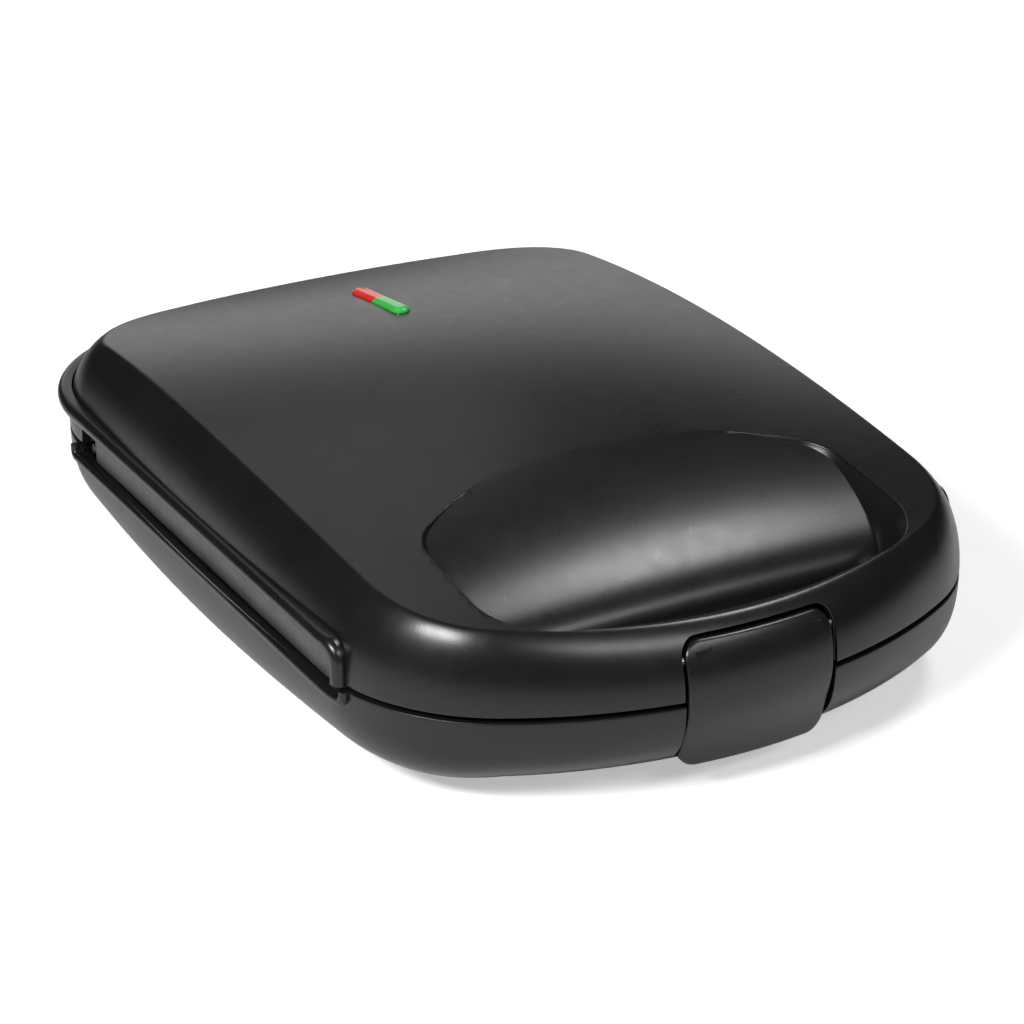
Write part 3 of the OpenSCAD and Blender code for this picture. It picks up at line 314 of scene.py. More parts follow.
def rounded_box(x0, x1, y0, y1, r, n=10):
    """A rectangle with rounded corners, from its lower right corner and counterclockwise."""
    points = []
    corners = ((x1 - r, y0 + r, -90), (x1 - r, y1 - r, 0), (x0 + r, y1 - r, 90), (x0 + r, y0 + r, 180))
    for cx, cy, turn in corners:
        for i in range(n + 1):
            a = math.radians(turn + 90 * i / n)
            points.append((cx + r * math.cos(a), cy + r * math.sin(a)))
    return np.array(points)


def outward(points):
    """Outward normals of a counterclockwise outline."""
    p = np.asarray(points, float)
    along = np.roll(p, -1, 0) - np.roll(p, 1, 0)
    n = np.column_stack([along[:, 1], -along[:, 0]])
    return n / np.linalg.norm(n, axis=1)[:, None]


def smooth(obj, degrees=32.0):
    """Smooth shading, with sharp edges kept where the faces turn by more than that."""
    mesh = obj.data
    mesh.shade_smooth()
    mesh.set_sharp_from_angle(angle=math.radians(degrees))
    return obj


# ---- the lid and the base ----


# Shares of the recess's depth, each with the share of the draft that its wall has there
DRAFT_AT_DEPTH = ((0, 0.02, 0.07, 0.2, 0.55, 1), (0, 0.06, 0.2, 0.45, 0.8, 1))


def recess_well(g, pitch):
    """The recess's tapering well, grown by g; the one that shows has a rounded rim."""
    o = recess_outline(pitch)
    rim_z = top_z(o[:, 0], o[:, 1])
    rings = []
    for s in reversed(np.linspace(0, 1, 15) ** 2.2):
        xy = inset(o, around(o[:, 2], *RECESS_DRAFT) * float(np.interp(s, *DRAFT_AT_DEPTH)) - g)
        rings.append(at_height(xy, rim_z - s * RECESS_DEPTH - LIP_R))
    if g == 0:
        for a in np.radians(np.linspace(10, 80, 8)):
            xy = inset(o, -LIP_R * (1 - math.cos(a)))
            rings.append(at_height(xy, rim_z - LIP_R * (1 - math.sin(a))))
    rings.append(lifted(rings[-1], SEAM_Z + DOME_H + 10))
    return loft("well", rings)


def recess_cutter(g, pitch, roll_pitch, steps):
    """The finger recess: the tapering well over a long roll, grown by g."""
    half, above, behind = 90, SEAM_Z + 60, RECESS_BACK + 15
    floor = SEAM_Z + RECESS_FLOOR
    u = 1 - (1 - np.arange(steps, -1, -1) / steps) ** 1.8
    y = RECESS_BACK - ROLL_L * u
    roll = []
    for x in np.linspace(-half, half, int(2 * half / roll_pitch) + 1):
        top = DOME_H - ROLL_UNDER - ROLL_CROWN * (x / ROLL_CROWN_X) ** 2
        z = floor + (top - RECESS_FLOOR) * np.sqrt(np.maximum(0, 1 - u**1.2))
        along = np.column_stack([np.gradient(y), np.gradient(z)])
        along /= np.linalg.norm(along, axis=1)[:, None]
        y2, z2 = y + g * along[:, 1], z - g * along[:, 0]
        line = [(FRONT_Y - 5, floor - g), (y[0], floor - g), *zip(y2[1:], z2[1:])]
        line += [(behind, z2[-1] + 3), (behind, above), (FRONT_Y - 5, above)]
        roll.append(np.array([(x, a, b) for a, b in line]))
    return boolean(recess_well(g, pitch), loft("roll", roll), "INTERSECT")


def bead_point(l, out):
    """A point of the beads' line in plan, moved outwards; l is the distance from the front corner's end."""
    start = BEAD_CORNERS[0][1]
    cx, cy = BEAD_CORNERS[0 if l < 0 else 1]
    r = BEAD_X - cx
    a = min(l, max(0.0, l - cy + start)) / r
    y = start if l < 0 else min(start + l, cy)
    return cx + (r + out) * math.cos(a), y + (r + out) * math.sin(a)


def bead_reach(degrees):
    """How far along its line a bead has turned a corner by an angle."""
    a = math.radians(degrees)
    if a < 0:
        return (BEAD_X - BEAD_CORNERS[0][0]) * a
    return BEAD_CORNERS[1][1] - BEAD_CORNERS[0][1] + (BEAD_X - BEAD_CORNERS[1][0]) * a


def bead(name, z, r, bend, ends, reach, up):
    """A half-round bead along a side window and round the body's corners, bent to the seam at its ends."""
    start, end = (bead_reach(a) for a in ends)
    turns = np.radians(np.linspace(0, 90, 13))
    path = [(start, -reach, math.pi)]
    path += [(start + bend * (1 - math.cos(a)), bend * (math.sin(a) - 1), math.pi - a) for a in turns]
    steps = int((end - start - 2 * bend) / 2.5)
    path += [(l, 0.0, math.pi / 2) for l in np.linspace(start + bend, end - bend, steps)[1:-1]]
    path += [(end - bend * (1 - math.cos(a)), bend * (math.sin(a) - 1), a) for a in turns[::-1]]
    path += [(end, -reach, 0.0)]
    half_round = [(r * math.cos(a), r * math.sin(a)) for a in np.radians(np.linspace(90, -90, 19))]
    section = [(-BEAD_WEB, r - 0.2), *half_round, (-BEAD_WEB, 0.2 - r)]
    rings = []
    for l, h, a in path:
        across, along = math.sin(a), math.cos(a)
        ring = [(*bead_point(l + v * along, out), z + up * (h + v * across)) for out, v in section]
        rings.append(np.array(ring))
    return loft(name, rings)


def window(low, high):
    return prism("window", rounded_box(WINDOW_FRONT, WINDOW_BACK, low, high, WINDOW_CORNER), 0, 100, 130)


def latch_inset(h):
    """How far the latch leans back at a height over the seam; below it the latch tucks in."""
    front_h = top_z(0.0, FRONT_Y + SHOULDER[1]) - SEAM_Z
    share = swell(np.maximum(CREASE_T * h / front_h, 0), LID_ROUND) / swell(CREASE_T, LID_ROUND)
    return np.where(h > 0, SHOULDER[1] * share, LATCH_TUCK * (1 - np.cos(np.pi * h / LATCH_TUCK_H)))


def front_surface(x, z):
    """Where the lid's front, or the latch below the seam, lies."""
    r = BODY_ARCS[0] - latch_inset(z - SEAM_Z)
    return FRONT_Y + BODY_ARCS[0] - np.sqrt(r**2 - x**2)


def slot_cutter():
    """The latch's slot in the lid, with a rounded edge."""
    o = rounded_box(-SLOT_HALF, SLOT_HALF, SEAM_Z - 12, SLOT_TOP, LATCH_CORNER)
    n = outward(o)
    front = front_surface(o[:, 0], o[:, 1])
    rings = [np.column_stack([o[:, 0], np.full(len(o), SLOT_BACK), o[:, 1]])]
    for a in np.radians(np.linspace(0, 78, 7)):
        p = o + n * EDGE_R * (1 - math.cos(a))
        rings.append(np.column_stack([p[:, 0], front + EDGE_R * (1 - math.sin(a)), p[:, 1]]))
    rings.append(rings[-1] - np.array([0, 4.0, 0]))
    return loft("slot", rings)


def lens_matrix():
    """Where the lens lies, sloping with the lid's top."""
    slope = math.atan((top_z(0, LENS_Y + 10) - top_z(0, LENS_Y - 10)) / 20)
    return Matrix.Translation((0, LENS_Y * MM, top_z(0, LENS_Y) * MM)) @ Matrix.Rotation(slope, 4, "X")


def pill(l, w, n=14):
    """A rectangle with half-round ends, long along its second axis."""
    points = []
    for s, turn in ((1, 0), (-1, 180)):
        for i in range(n + 1):
            a = math.radians(turn + 180 * i / n)
            points.append((w / 2 * math.cos(a), s * (l - w) / 2 + w / 2 * math.sin(a)))
    return np.array(points)


def eased(rings, first, last, passes):
    """Rings of a loft, with those from first to last averaged with their neighbours to round a crease."""
    stack = np.array(rings)
    for _ in range(passes):
        smoothed = stack.copy()
        for j in range(first, last):
            smoothed[j] = 0.25 * stack[j - 1] + 0.5 * stack[j] + 0.25 * stack[j + 1]
        stack = smoothed
    return list(stack)


def cut_both_sides(form, cutter):
    return cut(form, mirrored(cutter), cutter)


def make_lid():
    """The lid's shell with the recess, the latch's slot, windows, hinge slots, lens hole and beads."""
    o = body_outline(2.6)
    rings = [at_height(inset(o, EDGE_R), SEAM_Z)]
    for a in np.radians((30, 60, 90)):
        rings.append(at_height(inset(o, EDGE_R * (1 - math.sin(a))), SEAM_Z + EDGE_R * (1 - math.cos(a))))
    rings += [lid_ring(o, t) for t in superellipse_steps(LID_ROUND, CREASE_T, 30) if t > 0.03]
    crease = len(rings) - 1
    border = (0.35, 0.7, 1.1, 1.6, 2.4, 3.6, 5.4)
    rings += [top_ring(o, 1, more=m) for m in border]
    rings += [top_ring(o, k, more=border[-1]) for k in np.linspace(1, 0.02, 32)[1:]]
    form = loft("lid_shell", eased(rings, crease - 1, crease + 3, 2))
    coarse = body_outline(6.0)
    cavity = [lifted(lid_ring(coarse, 0.0, WALL), SEAM_Z - 1)]
    cavity += [lid_ring(coarse, t, WALL) for t in superellipse_steps(LID_ROUND, CREASE_T, 8)[1:]]
    cavity += [top_ring(coarse, k, WALL) for k in (0.8, 0.5, 0.2)]
    inside = loft("inside", cavity)
    cut(inside, recess_cutter(RECESS_WALL, 6.0, 15.0, 14))
    cut(form, inside, recess_cutter(0, 1.6, 3.0, 60), slot_cutter())
    cut_both_sides(form, window(SEAM_Z - 6, SEAM_Z + WINDOW_TOP))
    cut_both_sides(form, box("hinge_cut", (HINGE_X - ARM_SLOT_HALF, HINGE_FRONT, SEAM_Z - 5),
        (HINGE_X + ARM_SLOT_HALF, FAR_BACK, SEAM_Z + ARM_SLOT_H)))
    lens_hole = prism("lens_hole", pill(LENS_L + 0.2, LENS_W + 0.2), 2, -8, 12)
    lens_hole.data.transform(lens_matrix())
    cut(form, lens_hole)
    rail = bead("bead", BEAD_Z, BEAD_R, BEAD_BEND, BEAD_TURNS, BEAD_Z - SEAM_Z, 1)
    return join(form, mirrored(rail), rail)


def make_base():
    """The base's shell with the latch's notch and keeper, windows, hinge slots, foot bosses and vents."""
    o = body_outline(2.6)
    rings = [base_ring(o, t) for t in reversed(superellipse_steps(KEEL_ROUND, 1.0, 34)) if t > 0.09]
    top = inset(o, keel(o) * swell((SEAM_GAP + EDGE_R) / BASE_H, KEEL_ROUND))
    rings.append(at_height(top, BASE_TOP - EDGE_R))
    for a in np.radians((30, 60, 90)):
        xy = inset(o, keel(o) * swell(SEAM_GAP / BASE_H, KEEL_ROUND) + EDGE_R * (1 - math.cos(a)))
        rings.append(at_height(xy, BASE_TOP - EDGE_R * (1 - math.sin(a))))
    form = loft("base_shell", rings)
    coarse = body_outline(6.0)
    cavity = [base_ring(coarse, t, WALL) for t in reversed(superellipse_steps(KEEL_ROUND, 1.0, 8))]
    cavity.append(lifted(cavity[-1], SEAM_Z + 1))
    inside = loft("inside", cavity)
    cut(inside, box("wall", (-SLOT_HALF - RECESS_WALL, FAR_FRONT, 0),
        (SLOT_HALF + RECESS_WALL, NOTCH_Y + RECESS_WALL, SEAM_Z + 5)))
    for foot in FEET:
        cut(inside, prism("boss", circle(foot, FOOT_BOSS_R, 32), 2, 0, FOOT_H + FOOT_BOSS_H))
    cut(form, inside)
    notch = rounded_box(-SLOT_HALF, SLOT_HALF, FAR_FRONT - 15, NOTCH_Y, 1.2)
    cut(form, prism("notch", notch, 2, -2, SEAM_Z + 5))
    keeper = rounded_box(-KEEPER_HALF, KEEPER_HALF, KEEPER_LOW, KEEPER_TOP, 1.0)
    cut(form, prism("keeper", keeper, 1, FAR_FRONT, NOTCH_Y + 5))
    cut_both_sides(form, window(SEAM_Z - WINDOW_BOTTOM, SEAM_Z + 6))
    for s in (-1, 1):
        x = HINGE_X + s * BRACKET_X
        cut_both_sides(form, box("slit", (x - BRACKET_SLOT_HALF, HINGE_FRONT, BASE_TOP - BRACKET_SLOT_H),
            (x + BRACKET_SLOT_HALF, FAR_BACK, SEAM_Z + 5)))
    for foot in FEET:
        cut(form, prism("foot_hole", circle(foot, FOOT_HOLE_R, 32), 2, 0, 20))
    cut(form, prism("gland_hole", circle((0, GLAND_Z), GLAND_HOLE_R), 1, 140, FAR_BACK))
    for s in (-1, 1):
        for i in range(VENT_ROWS):
            vent = prism("vent", pill(VENT_L, VENT_W)[:, ::-1], 2, FOOT_H - 1, FOOT_H + WALL + 1)
            y = PLATE_Y + VENT_PITCH * (i - VENT_ROWS // 2)
            vent.data.transform(Matrix.Translation((s * VENT_X * MM, y * MM, 0)))
            cut(form, vent)
    rail = bead("bead", LOW_BEAD_Z, LOW_BEAD_R, LOW_BEAD_BEND, LOW_BEAD_TURNS, BASE_TOP - LOW_BEAD_Z, -1)
    return join(form, mirrored(rail), rail)


# ---- the latch ----


def make_latch():
    """The latch's curved skin with rounded edges, the two barrels on its pin, and its tongue."""
    r_edge = 0.7
    low, high = SEAM_Z - LATCH_BOTTOM, SEAM_Z + LATCH_TOP
    corners = rounded_box(-LATCH_HALF, LATCH_HALF, low, high, LATCH_CORNER, 12)
    dense = []
    for a, b in zip(corners, np.roll(corners, -1, 0)):
        n = max(1, int(np.linalg.norm(b - a) / 1.6))
        dense += [a + (b - a) * j / n for j in range(n)]
    o = np.array(dense)
    n = outward(o)
    centre = np.array([0.0, SEAM_Z - 4])
    # Points in the front's view, each ring with its depth behind the front surface
    rings = [(centre + (o - n * r_edge - centre) * k, 0.0) for k in np.linspace(0.03, 1, 14)[:-1]]
    for a in np.radians(np.linspace(0, 90, 7)):
        rings.append((o - n * r_edge * (1 - math.sin(a)), r_edge * (1 - math.cos(a))))

    def placed(points, depth):
        x, z = points[:, 0], points[:, 1]
        return np.column_stack([x, front_surface(x, z) + depth, z])

    front = [placed(points, depth) for points, depth in rings]
    back = [placed(points, LATCH_SKIN - depth) for points, depth in reversed(rings)]
    skin = loft("latch_skin", front + back)
    y, z = PIVOT
    web = [(y - 4.4, z - BARREL_R), (y, z - BARREL_R), (y, z + BARREL_R), (y - 2.6, z + BARREL_R)]
    for s in (-1, 1):
        low, high = s * BARREL_X - BARREL_HALF, s * BARREL_X + BARREL_HALF
        barrel = prism("barrel", circle(PIVOT, BARREL_R), 0, low, high)
        join(skin, join(barrel, prism("web", web, 0, low, high)))
    # From the skin to the tip and back along the underside
    tongue = ((-8.2, -0.4), (3.2, -0.4), (3.9, -1.2), (3.4, -2.6), (-3.8, -3.6), (-7.8, -5.4))
    tongue = [(NOTCH_Y + y, KEEPER_TOP + z) for y, z in tongue]
    join(skin, prism("tongue", tongue, 0, -TONGUE_HALF, TONGUE_HALF))
    return cut(skin, prism("bore", circle(PIVOT, PIN_HOLE_R), 0, -40, 40))


# ---- the lenses ----


# How much narrower the lens is at each height, from its underside up over its bevels
LENS_RINGS = ((0, LENS_LOW), (0, 0.3), (0.12, 0.52), (0.4, 0.68), (2.9, 1.42), (3.3, 1.56), (3.9, 1.6))


def half_of(obj, end):
    """The rear or the front half of a solid, short of the middle by half the gap between the two lenses."""
    gap = 0.03
    low, high = (gap, LENS_L) if end > 0 else (-LENS_L, -gap)
    return boolean(obj, box("half", (-10, low, -10), (10, high, 10)), "INTERSECT")


def make_lens(name, end):
    """One half of the indicator: a bar with a bevelled top, in the lid's hole."""
    bar = half_of(loft(name, [at_height(pill(LENS_L - d, LENS_W - d), z) for d, z in LENS_RINGS]), end)
    flange = prism("flange", pill(LENS_L + 3, LENS_W + 3), 2, LENS_LOW, LENS_LOW + LENS_FLANGE)
    join(bar, half_of(flange, end))
    bar.data.transform(lens_matrix())
    return bar


# ---- the heating plates ----

POCKET = (51.0, 46.5)
RIDGE, POCKET_R, POCKET_DEPTH, POCKET_SLOPE, CAST = 8.0, 9.0, 12.0, 8.0, 2.4
# Each plate: width, length, side of its back, heights of its skirt, height of its lugs
UPPER_PLATE = (227.2, 207.5, 1, (33.6, 46.0), SEAM_Z + 2)
LOWER_PLATE = (220.8, 201.1, -1, (26.0, 35.9), SEAM_Z - 8.4)
PLATE_CORNER, SKIRT_EDGE_R = 8.0, 0.5
# The lugs: place across, half width, outer end and screw from the plate's middle, thickness, hole
LUG_X, LUG_HALF, LUG_REACH, LUG_SCREW, LUG_T, LUG_HOLE_R = 70, 7, 112.75, 108.25, 2.4, 1.6


def triangle_distance(p, spots):
    """Signed distance from points to a triangle, negative inside."""
    best = np.full(len(p), 1e9)
    inside = np.ones(len(p), bool)
    for i in range(3):
        a, b = spots[i], spots[(i + 1) % 3]
        e = b - a
        w = p - a
        t = np.clip((w @ e) / (e @ e), 0, 1)
        d = w - t[:, None] * e
        best = np.minimum(best, np.hypot(d[:, 0], d[:, 1]))
        inside &= (e[0] * w[:, 1] - e[1] * w[:, 0]) >= 0
    return np.where(inside, -best, best)


def pocket_depth(x, y):
    """Depth of the toasting pockets at points measured from the plate's middle."""
    ax, ay = POCKET
    corner = POCKET_R * 2.6 + RIDGE / 2
    p = np.column_stack([np.abs(x) - (ax + RIDGE / 2), np.abs(y) - (ay + RIDGE / 2)])
    depth = np.zeros(len(p))
    # The triangle's corners, counterclockwise, inside the pocket's rounded outline
    spots = ((-ax + POCKET_R, ay - POCKET_R), (-ax + POCKET_R, -ay + corner), (ax - corner, ay - POCKET_R))
    for half in (-1, 1):
        inner = POCKET_R - triangle_distance(p, [half * np.array(spot) for spot in spots])
        s = np.clip(inner / POCKET_SLOPE, 0, 1)
        depth = np.maximum(depth, POCKET_DEPTH * s * s * (3 - 2 * s))
    return depth


def skirt_ring(outline, n, turn, z, side):
    """A ring of the skirt's rounded edge; side is 1 at its low edge and -1 at its high one."""
    xy = outline - n * SKIRT_EDGE_R * (1 - math.sin(turn))
    return at_height(xy, z + side * SKIRT_EDGE_R * (1 - math.cos(turn)))


def make_plate(name, w, l, up, skirt, lug_z):
    """A cast plate: its cooking face with eight pockets, its back, the skirt round it, and its lugs."""
    face_z = SEAM_Z - 1 + up * 0.1
    pitch = 1.7
    nx, ny = int((w - 2) / pitch), int((l - 2) / pitch)
    gx, gy = np.meshgrid(np.linspace(-w / 2 + 1, w / 2 - 1, nx), np.linspace(-l / 2 + 1, l / 2 - 1, ny))
    x, y = gx.ravel(), gy.ravel()
    front = np.column_stack([x, y + PLATE_Y, face_z + up * pocket_depth(x, y)])
    back = front + np.array([0, 0, up * CAST])
    index = np.arange(nx * ny).reshape(ny, nx)
    quads = np.stack([index[:-1, :-1], index[:-1, 1:], index[1:, 1:], index[1:, :-1]], -1).reshape(-1, 4)
    faces = quads.tolist() + (quads[:, ::-1] + nx * ny).tolist()
    rim = np.concatenate([index[0, :-1], index[:-1, -1], index[-1, :0:-1], index[:0:-1, 0]])
    for a, b in zip(rim, np.roll(rim, -1)):
        faces.append((int(b), int(a), int(a) + nx * ny, int(b) + nx * ny))
    plate = new_object(name, np.concatenate([front, back]), faces)
    low, high = skirt
    outer = rounded_box(-w / 2, w / 2, -l / 2 + PLATE_Y, l / 2 + PLATE_Y, PLATE_CORNER, 12)
    inner = rounded_box(-w / 2 + CAST, w / 2 - CAST, -l / 2 + CAST + PLATE_Y, l / 2 - CAST + PLATE_Y,
        PLATE_CORNER - CAST, 12)
    n = outward(outer)
    turns = np.radians((0, 30, 60, 90))
    rings = [skirt_ring(outer, n, a, low, 1) for a in turns]
    rings += [skirt_ring(outer, n, a, high, -1) for a in turns[::-1]]
    band = loft("band", rings)
    cut(band, prism("hollow", inner, 2, low - 5, high + 5))
    join(plate, band)
    for sx in (-1, 1):
        for sy in (-1, 1):
            x = sx * LUG_X
            near, far = sorted((PLATE_Y + sy * (l / 2 - 1), PLATE_Y + sy * LUG_REACH))
            lug = box("lug", (x - LUG_HALF, near, lug_z), (x + LUG_HALF, far, lug_z + LUG_T))
            hole = circle((x, PLATE_Y + sy * LUG_SCREW), LUG_HOLE_R, 24)
            join(plate, cut(lug, prism("hole", hole, 2, lug_z - 2, lug_z + 5)))
    return plate


# ---- materials ----

# The part of a noise's range that most of its values lie in
NOISE_SPAN = (0.3, 0.7)


class Nodes:
    """A material's node tree, with a short way to add noise, ranges and colours."""

    def __init__(self, name):
        self.material = bpy.data.materials.new(name)
        self.material.use_nodes = True
        self.tree = self.material.node_tree
        self.shader = next(n for n in self.tree.nodes if n.type == "BSDF_PRINCIPLED")
        self.place = self.tree.nodes.new("ShaderNodeTexCoord").outputs["Object"]

    def noise(self, scale, detail, rough, stretch):
        source = self.place
        if stretch:
            mapping = self.tree.nodes.new("ShaderNodeMapping")
            mapping.inputs["Scale"].default_value = stretch
            self.tree.links.new(source, mapping.inputs["Vector"])
            source = mapping.outputs["Vector"]
        node = self.tree.nodes.new("ShaderNodeTexNoise")
        for key, number in (("Scale", scale), ("Detail", detail), ("Roughness", rough)):
            node.inputs[key].default_value = number
        self.tree.links.new(source, node.inputs["Vector"])
        return node.outputs["Fac"]

    def colour(self, value, dark, light):
        """The base colour, from dark to light with the value."""
        ramp = self.tree.nodes.new("ShaderNodeValToRGB")
        for element, at, colour in zip(ramp.color_ramp.elements, NOISE_SPAN, (dark, light)):
            element.position = at
            element.color = (*colour, 1)
        self.tree.links.new(value, ramp.inputs["Fac"])
        self.tree.links.new(ramp.outputs["Color"], self.shader.inputs["Base Color"])

    def roughness(self, value, low, high):
        node = self.tree.nodes.new("ShaderNodeMapRange")
        ends = zip(("From Min", "From Max", "To Min", "To Max"), (*NOISE_SPAN, low, high))
        for key, number in ends:
            node.inputs[key].default_value = number
        self.tree.links.new(value, node.inputs["Value"])
        self.tree.links.new(node.outputs["Result"], self.shader.inputs["Roughness"])

    def bump(self, value, depth):
        node = self.tree.nodes.new("ShaderNodeBump")
        node.inputs["Strength"].default_value = 1.0
        node.inputs["Distance"].default_value = depth
        self.tree.links.new(value, node.inputs["Height"])
        self.tree.links.new(node.outputs["Normal"], self.shader.inputs["Normal"])


def finish(name, dark, light, rough, grain, depth, metallic=0.0, stretch=None, mottle=25.0, **shader):
    """A finish with a mottled colour, a varying roughness and a fine grain of that many per metre."""
    n = Nodes(name)
    n.colour(n.noise(mottle, 5.0, 0.6, stretch), dark, light)
    n.roughness(n.noise(mottle * 6, 3.0, 0.6, stretch), *rough)
    n.bump(n.noise(grain, 2.0, 0.55, stretch), depth)
    n.shader.inputs["Metallic"].default_value = metallic
    for key, value in shader.items():
        n.shader.inputs[key.replace("_", " ")].default_value = value
    return n.material


def grey(value):
    return (value, value, value * 1.03)


# Name of the slot: dark colour, light colour, roughness, grain per metre, depth of the grain in metres
FINISHES = {
    "black_plastic": (grey(0.005), grey(0.0075), (0.27, 0.31), 1600.0, 0.000015),
    "deck_plastic": (grey(0.012), grey(0.016), (0.4, 0.48), 1800.0, 0.00002),
    "latch_plastic": (grey(0.005), grey(0.0075), (0.27, 0.32), 1600.0, 0.000015),
    "hinge_plastic": (grey(0.012), grey(0.016), (0.36, 0.44), 2000.0, 0.00002),
    "plate_coating": (grey(0.03), grey(0.05), (0.34, 0.44), 1500.0, 0.00004),
    "element_steel": ((0.16, 0.13, 0.11), (0.30, 0.27, 0.25), (0.35, 0.5), 900.0, 0.00004, 0.9),
    "spring_steel": (grey(0.42), grey(0.5), (0.28, 0.38), 1200.0, 0.00003, 1.0, (1, 12, 1)),
    "tray_steel": (grey(0.55), grey(0.65), (0.2, 0.34), 700.0, 0.00004, 1.0, (1, 20, 1)),
    "thermostat_steel": ((0.40, 0.36, 0.28), (0.5, 0.47, 0.4), (0.3, 0.4), 900.0, 0.00003, 1.0),
    "screw_steel": (grey(0.45), grey(0.55), (0.25, 0.4), 1500.0, 0.00003, 1.0),
    "pin_steel": (grey(0.5), grey(0.58), (0.15, 0.24), 1500.0, 0.00002, 1.0, (14, 1, 1)),
    "fuse_sleeve": ((0.52, 0.5, 0.42), (0.66, 0.63, 0.55), (0.7, 0.85), 1400.0, 0.0002),
    "ceramic": ((0.66, 0.63, 0.56), (0.74, 0.72, 0.66), (0.18, 0.3), 600.0, 0.00004),
    "lead_sleeve": ((0.5, 0.46, 0.38), (0.6, 0.56, 0.47), (0.45, 0.6), 900.0, 0.00006),
    "gland_rubber": (grey(0.012), grey(0.018), (0.6, 0.72), 1500.0, 0.0001),
    "foot_rubber": (grey(0.014), grey(0.02), (0.66, 0.8), 1300.0, 0.00012),
    "lens_red": ((0.62, 0.02, 0.015), (0.72, 0.035, 0.02), (0.12, 0.2), 900.0, 0.000005),
    "lens_green": ((0.05, 0.42, 0.07), (0.07, 0.52, 0.1), (0.12, 0.2), 900.0, 0.000005),
    "holder_plastic": (grey(0.52), grey(0.6), (0.5, 0.6), 900.0, 0.00005),
    "lamp_glass": ((0.7, 0.5, 0.35), (0.8, 0.6, 0.45), (0.04, 0.1), 500.0, 0.00001),
}
# What some of them have besides
EXTRAS = {
    "plate_coating": {"mottle": 60.0},
    "lens_red": {"Transmission_Weight": 0.1},
    "lens_green": {"Transmission_Weight": 0.1},
    "lamp_glass": {"Transmission_Weight": 0.8},
}
MATERIALS = {name: finish(name, *values, **EXTRAS.get(name, {})) for name, values in FINISHES.items()}

# ---- the pieces ----

# Each piece with the node that it replaces, its body, its slot and the angle past which its edges are sharp
PIECES = (
    (make_lid(), "lid_housing", "lid", "black_plastic", 28),
    (make_base(), "base_housing", "base", "black_plastic", 28),
    (make_latch(), "latch", "latch", "latch_plastic", 32),
    (make_lens("lens_bar_red", 1), "indicator_lens_red", "lid", "lens_red", 20),
    (make_lens("lens_bar_green", -1), "indicator_lens_green", "lid", "lens_green", 20),
    (make_plate("upper_casting", *UPPER_PLATE), "upper_plate", "lid", "plate_coating", 40),
    (make_plate("lower_casting", *LOWER_PLATE), "lower_plate", "base", "plate_coating", 40),
)
for piece, node, body, slot, angle in PIECES:
    smooth(piece, angle)
    piece.data.materials.clear()
    piece.data.materials.append(MATERIALS[slot])
    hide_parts(node)
    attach(piece, body)

for part in frame["record"]["subparts"]:
    node = frame["nodes"][part["node"]]
    material = MATERIALS[part["material_slot"]]
    if not node.material_slots:
        node.data.materials.append(material)
    for material_slot in node.material_slots:
        material_slot.link = "OBJECT"
        material_slot.material = material

# ---- stage, light and camera ----


def by_distance(tree, distance, near, far, near_value, far_value):
    """A value that changes smoothly with the distance in metres from the body's middle."""
    node = tree.nodes.new("ShaderNodeMapRange")
    node.interpolation_type = "SMOOTHSTEP"
    ends = zip(("From Min", "From Max", "To Min", "To Max"), (near, far, near_value, far_value))
    for key, number in ends:
        node.inputs[key].default_value = number
    tree.links.new(distance, node.inputs["Value"])
    return node.outputs["Result"]


def pale(name, albedo, glow):
    """A pale surface that keeps shadows, stays pale far off, and in gloss fades with the distance."""
    material = bpy.data.materials.new(name)
    material.use_nodes = True
    tree = material.node_tree
    tree.nodes.clear()
    path = tree.nodes.new("ShaderNodeLightPath")
    place = tree.nodes.new("ShaderNodeTexCoord")
    away = tree.nodes.new("ShaderNodeVectorMath")
    away.operation = "LENGTH"
    tree.links.new(place.outputs["Object"], away.inputs[0])
    distance = away.outputs["Value"]
    shade = tree.nodes.new("ShaderNodeMix")
    shade.data_type = "FLOAT"
    tree.links.new(path.outputs["Is Glossy Ray"], shade.inputs[0])
    shade.inputs[2].default_value = albedo
    tree.links.new(by_distance(tree, distance, 0.15, 0.8, albedo, 0.0), shade.inputs[3])
    diffuse = tree.nodes.new("ShaderNodeBsdfDiffuse")
    tree.links.new(shade.outputs[0], diffuse.inputs["Color"])
    seen = tree.nodes.new("ShaderNodeMath")
    seen.operation = "MULTIPLY"
    tree.links.new(path.outputs["Is Camera Ray"], seen.inputs[0])
    tree.links.new(by_distance(tree, distance, 0.6, 1.6, glow, 1.0), seen.inputs[1])
    light = tree.nodes.new("ShaderNodeEmission")
    tree.links.new(seen.outputs[0], light.inputs["Strength"])
    both = tree.nodes.new("ShaderNodeAddShader")
    tree.links.new(diffuse.outputs[0], both.inputs[0])
    tree.links.new(light.outputs[0], both.inputs[1])
    out = tree.nodes.new("ShaderNodeOutputMaterial")
    tree.links.new(both.outputs[0], out.inputs["Surface"])
    return material


floor_mesh = bpy.data.meshes.new("floor")
reach = 6
corners = [(-reach, -reach, 0), (reach, -reach, 0), (reach, reach, 0), (-reach, reach, 0)]
floor_mesh.from_pydata(corners, [], [(0, 1, 2, 3)])
floor = bpy.data.objects.new("floor", floor_mesh)
bpy.context.scene.collection.objects.link(floor)
floor.data.materials.append(pale("floor_white", 0.8, 0.45))

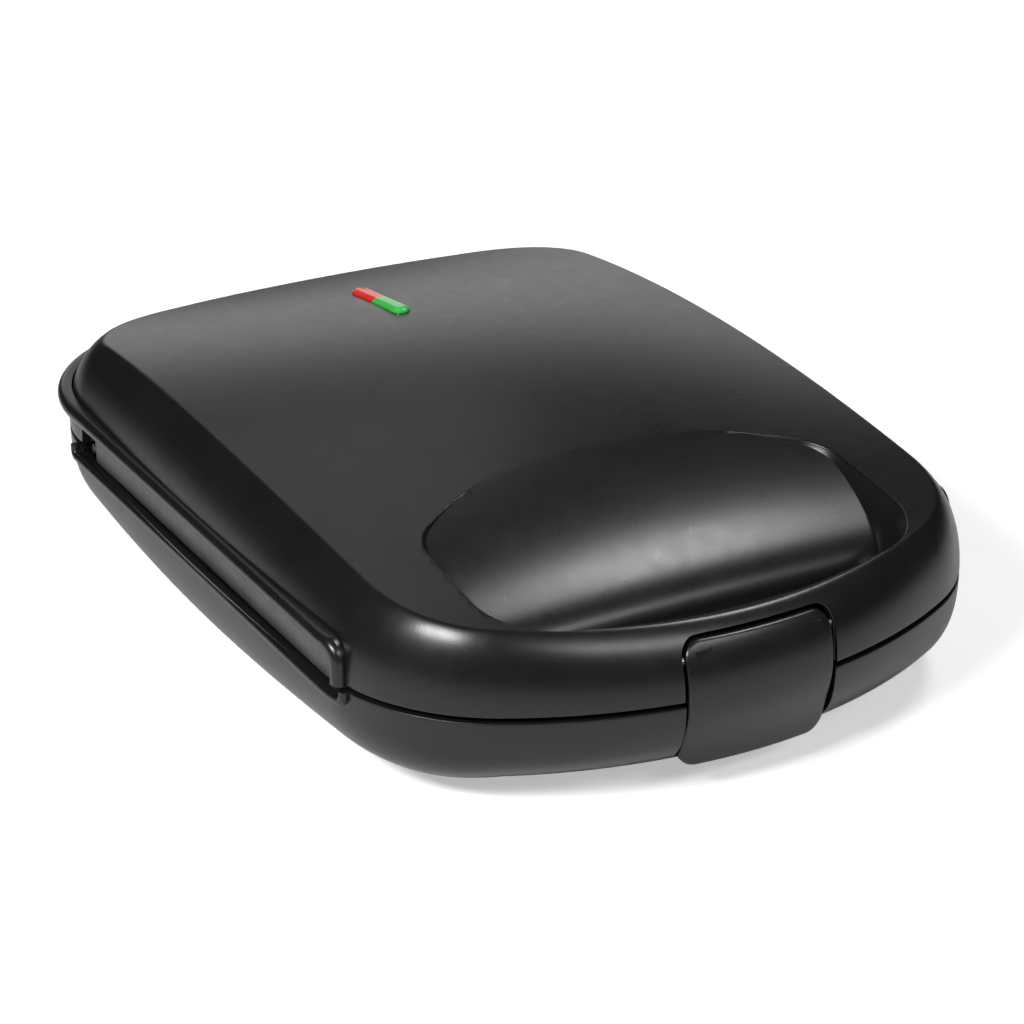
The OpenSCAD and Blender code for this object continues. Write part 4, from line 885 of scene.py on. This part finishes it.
world = bpy.data.worlds.new("studio")
bpy.context.scene.world = world
world.use_nodes = True
tree = world.node_tree
background = next(n for n in tree.nodes if n.type == "BACKGROUND")
background.inputs["Color"].default_value = (1, 1, 1, 1)
path = tree.nodes.new("ShaderNodeLightPath")
strength = tree.nodes.new("ShaderNodeMapRange")
strength.inputs["To Min"].default_value = 0.02
strength.inputs["To Max"].default_value = 1.0
tree.links.new(path.outputs["Is Camera Ray"], strength.inputs["Value"])
tree.links.new(strength.outputs["Result"], background.inputs["Strength"])


def softbox(name, turn, height, distance, size, brightness):
    """A panel that faces the body: turn in degrees from the back to the right, height in degrees."""
    turn, height = math.radians(turn), math.radians(height)
    middle = Vector((0, -0.05, 0.05))
    toward = Vector((math.sin(turn) * math.cos(height), math.cos(turn) * math.cos(height), math.sin(height)))
    data = bpy.data.lights.new(name, "AREA")
    data.shape = "RECTANGLE"
    data.size, data.size_y = size
    data.energy = math.pi * size[0] * size[1] * brightness
    lamp = bpy.data.objects.new(name, data)
    lamp.location = middle + toward * distance
    lamp.rotation_euler = (-toward).to_track_quat("-Z", "Y").to_euler()
    bpy.context.scene.collection.objects.link(lamp)


softbox("recess", 91, 62, 1.4, (0.5, 0.2), 20.0)
softbox("left", -110, 38, 1.4, (0.6, 0.26), 44.0)
softbox("back", 22, 12, 1.4, (1.2, 0.42), 1.1)
softbox("back_high", 8, 43, 1.4, (0.9, 0.6), 0.6)
softbox("front", 170, 36, 1.6, (1.1, 0.3), 8.0)

# The camera: where it stands, which way it looks in degrees, and its focal length as a share of the picture
STAND = (-0.4704, -0.8782, 0.4802)
AZIMUTH, ELEVATION, ROLL = (math.radians(a) for a in (28.66, 24.61, -0.38))
FOCAL, SENSOR = 3053.6 / 1024, 36
camera = bpy.data.objects.new("camera", bpy.data.cameras.new("camera"))
bpy.context.scene.collection.objects.link(camera)
bpy.context.scene.camera = camera
camera.data.sensor_width = SENSOR
camera.data.lens = FOCAL * SENSOR
level = math.cos(ELEVATION)
forward = Vector((math.sin(AZIMUTH) * level, math.cos(AZIMUTH) * level, -math.sin(ELEVATION)))
side = forward.cross(Vector((0, 0, 1))).normalized()
above = side.cross(forward)
right = math.cos(ROLL) * side + math.sin(ROLL) * above
up = math.cos(ROLL) * above - math.sin(ROLL) * side
turned = Matrix((right, up, -forward)).transposed().to_4x4()
camera.matrix_world = Matrix.Translation(STAND) @ turned

bpy.context.scene.view_settings.view_transform = "Standard"
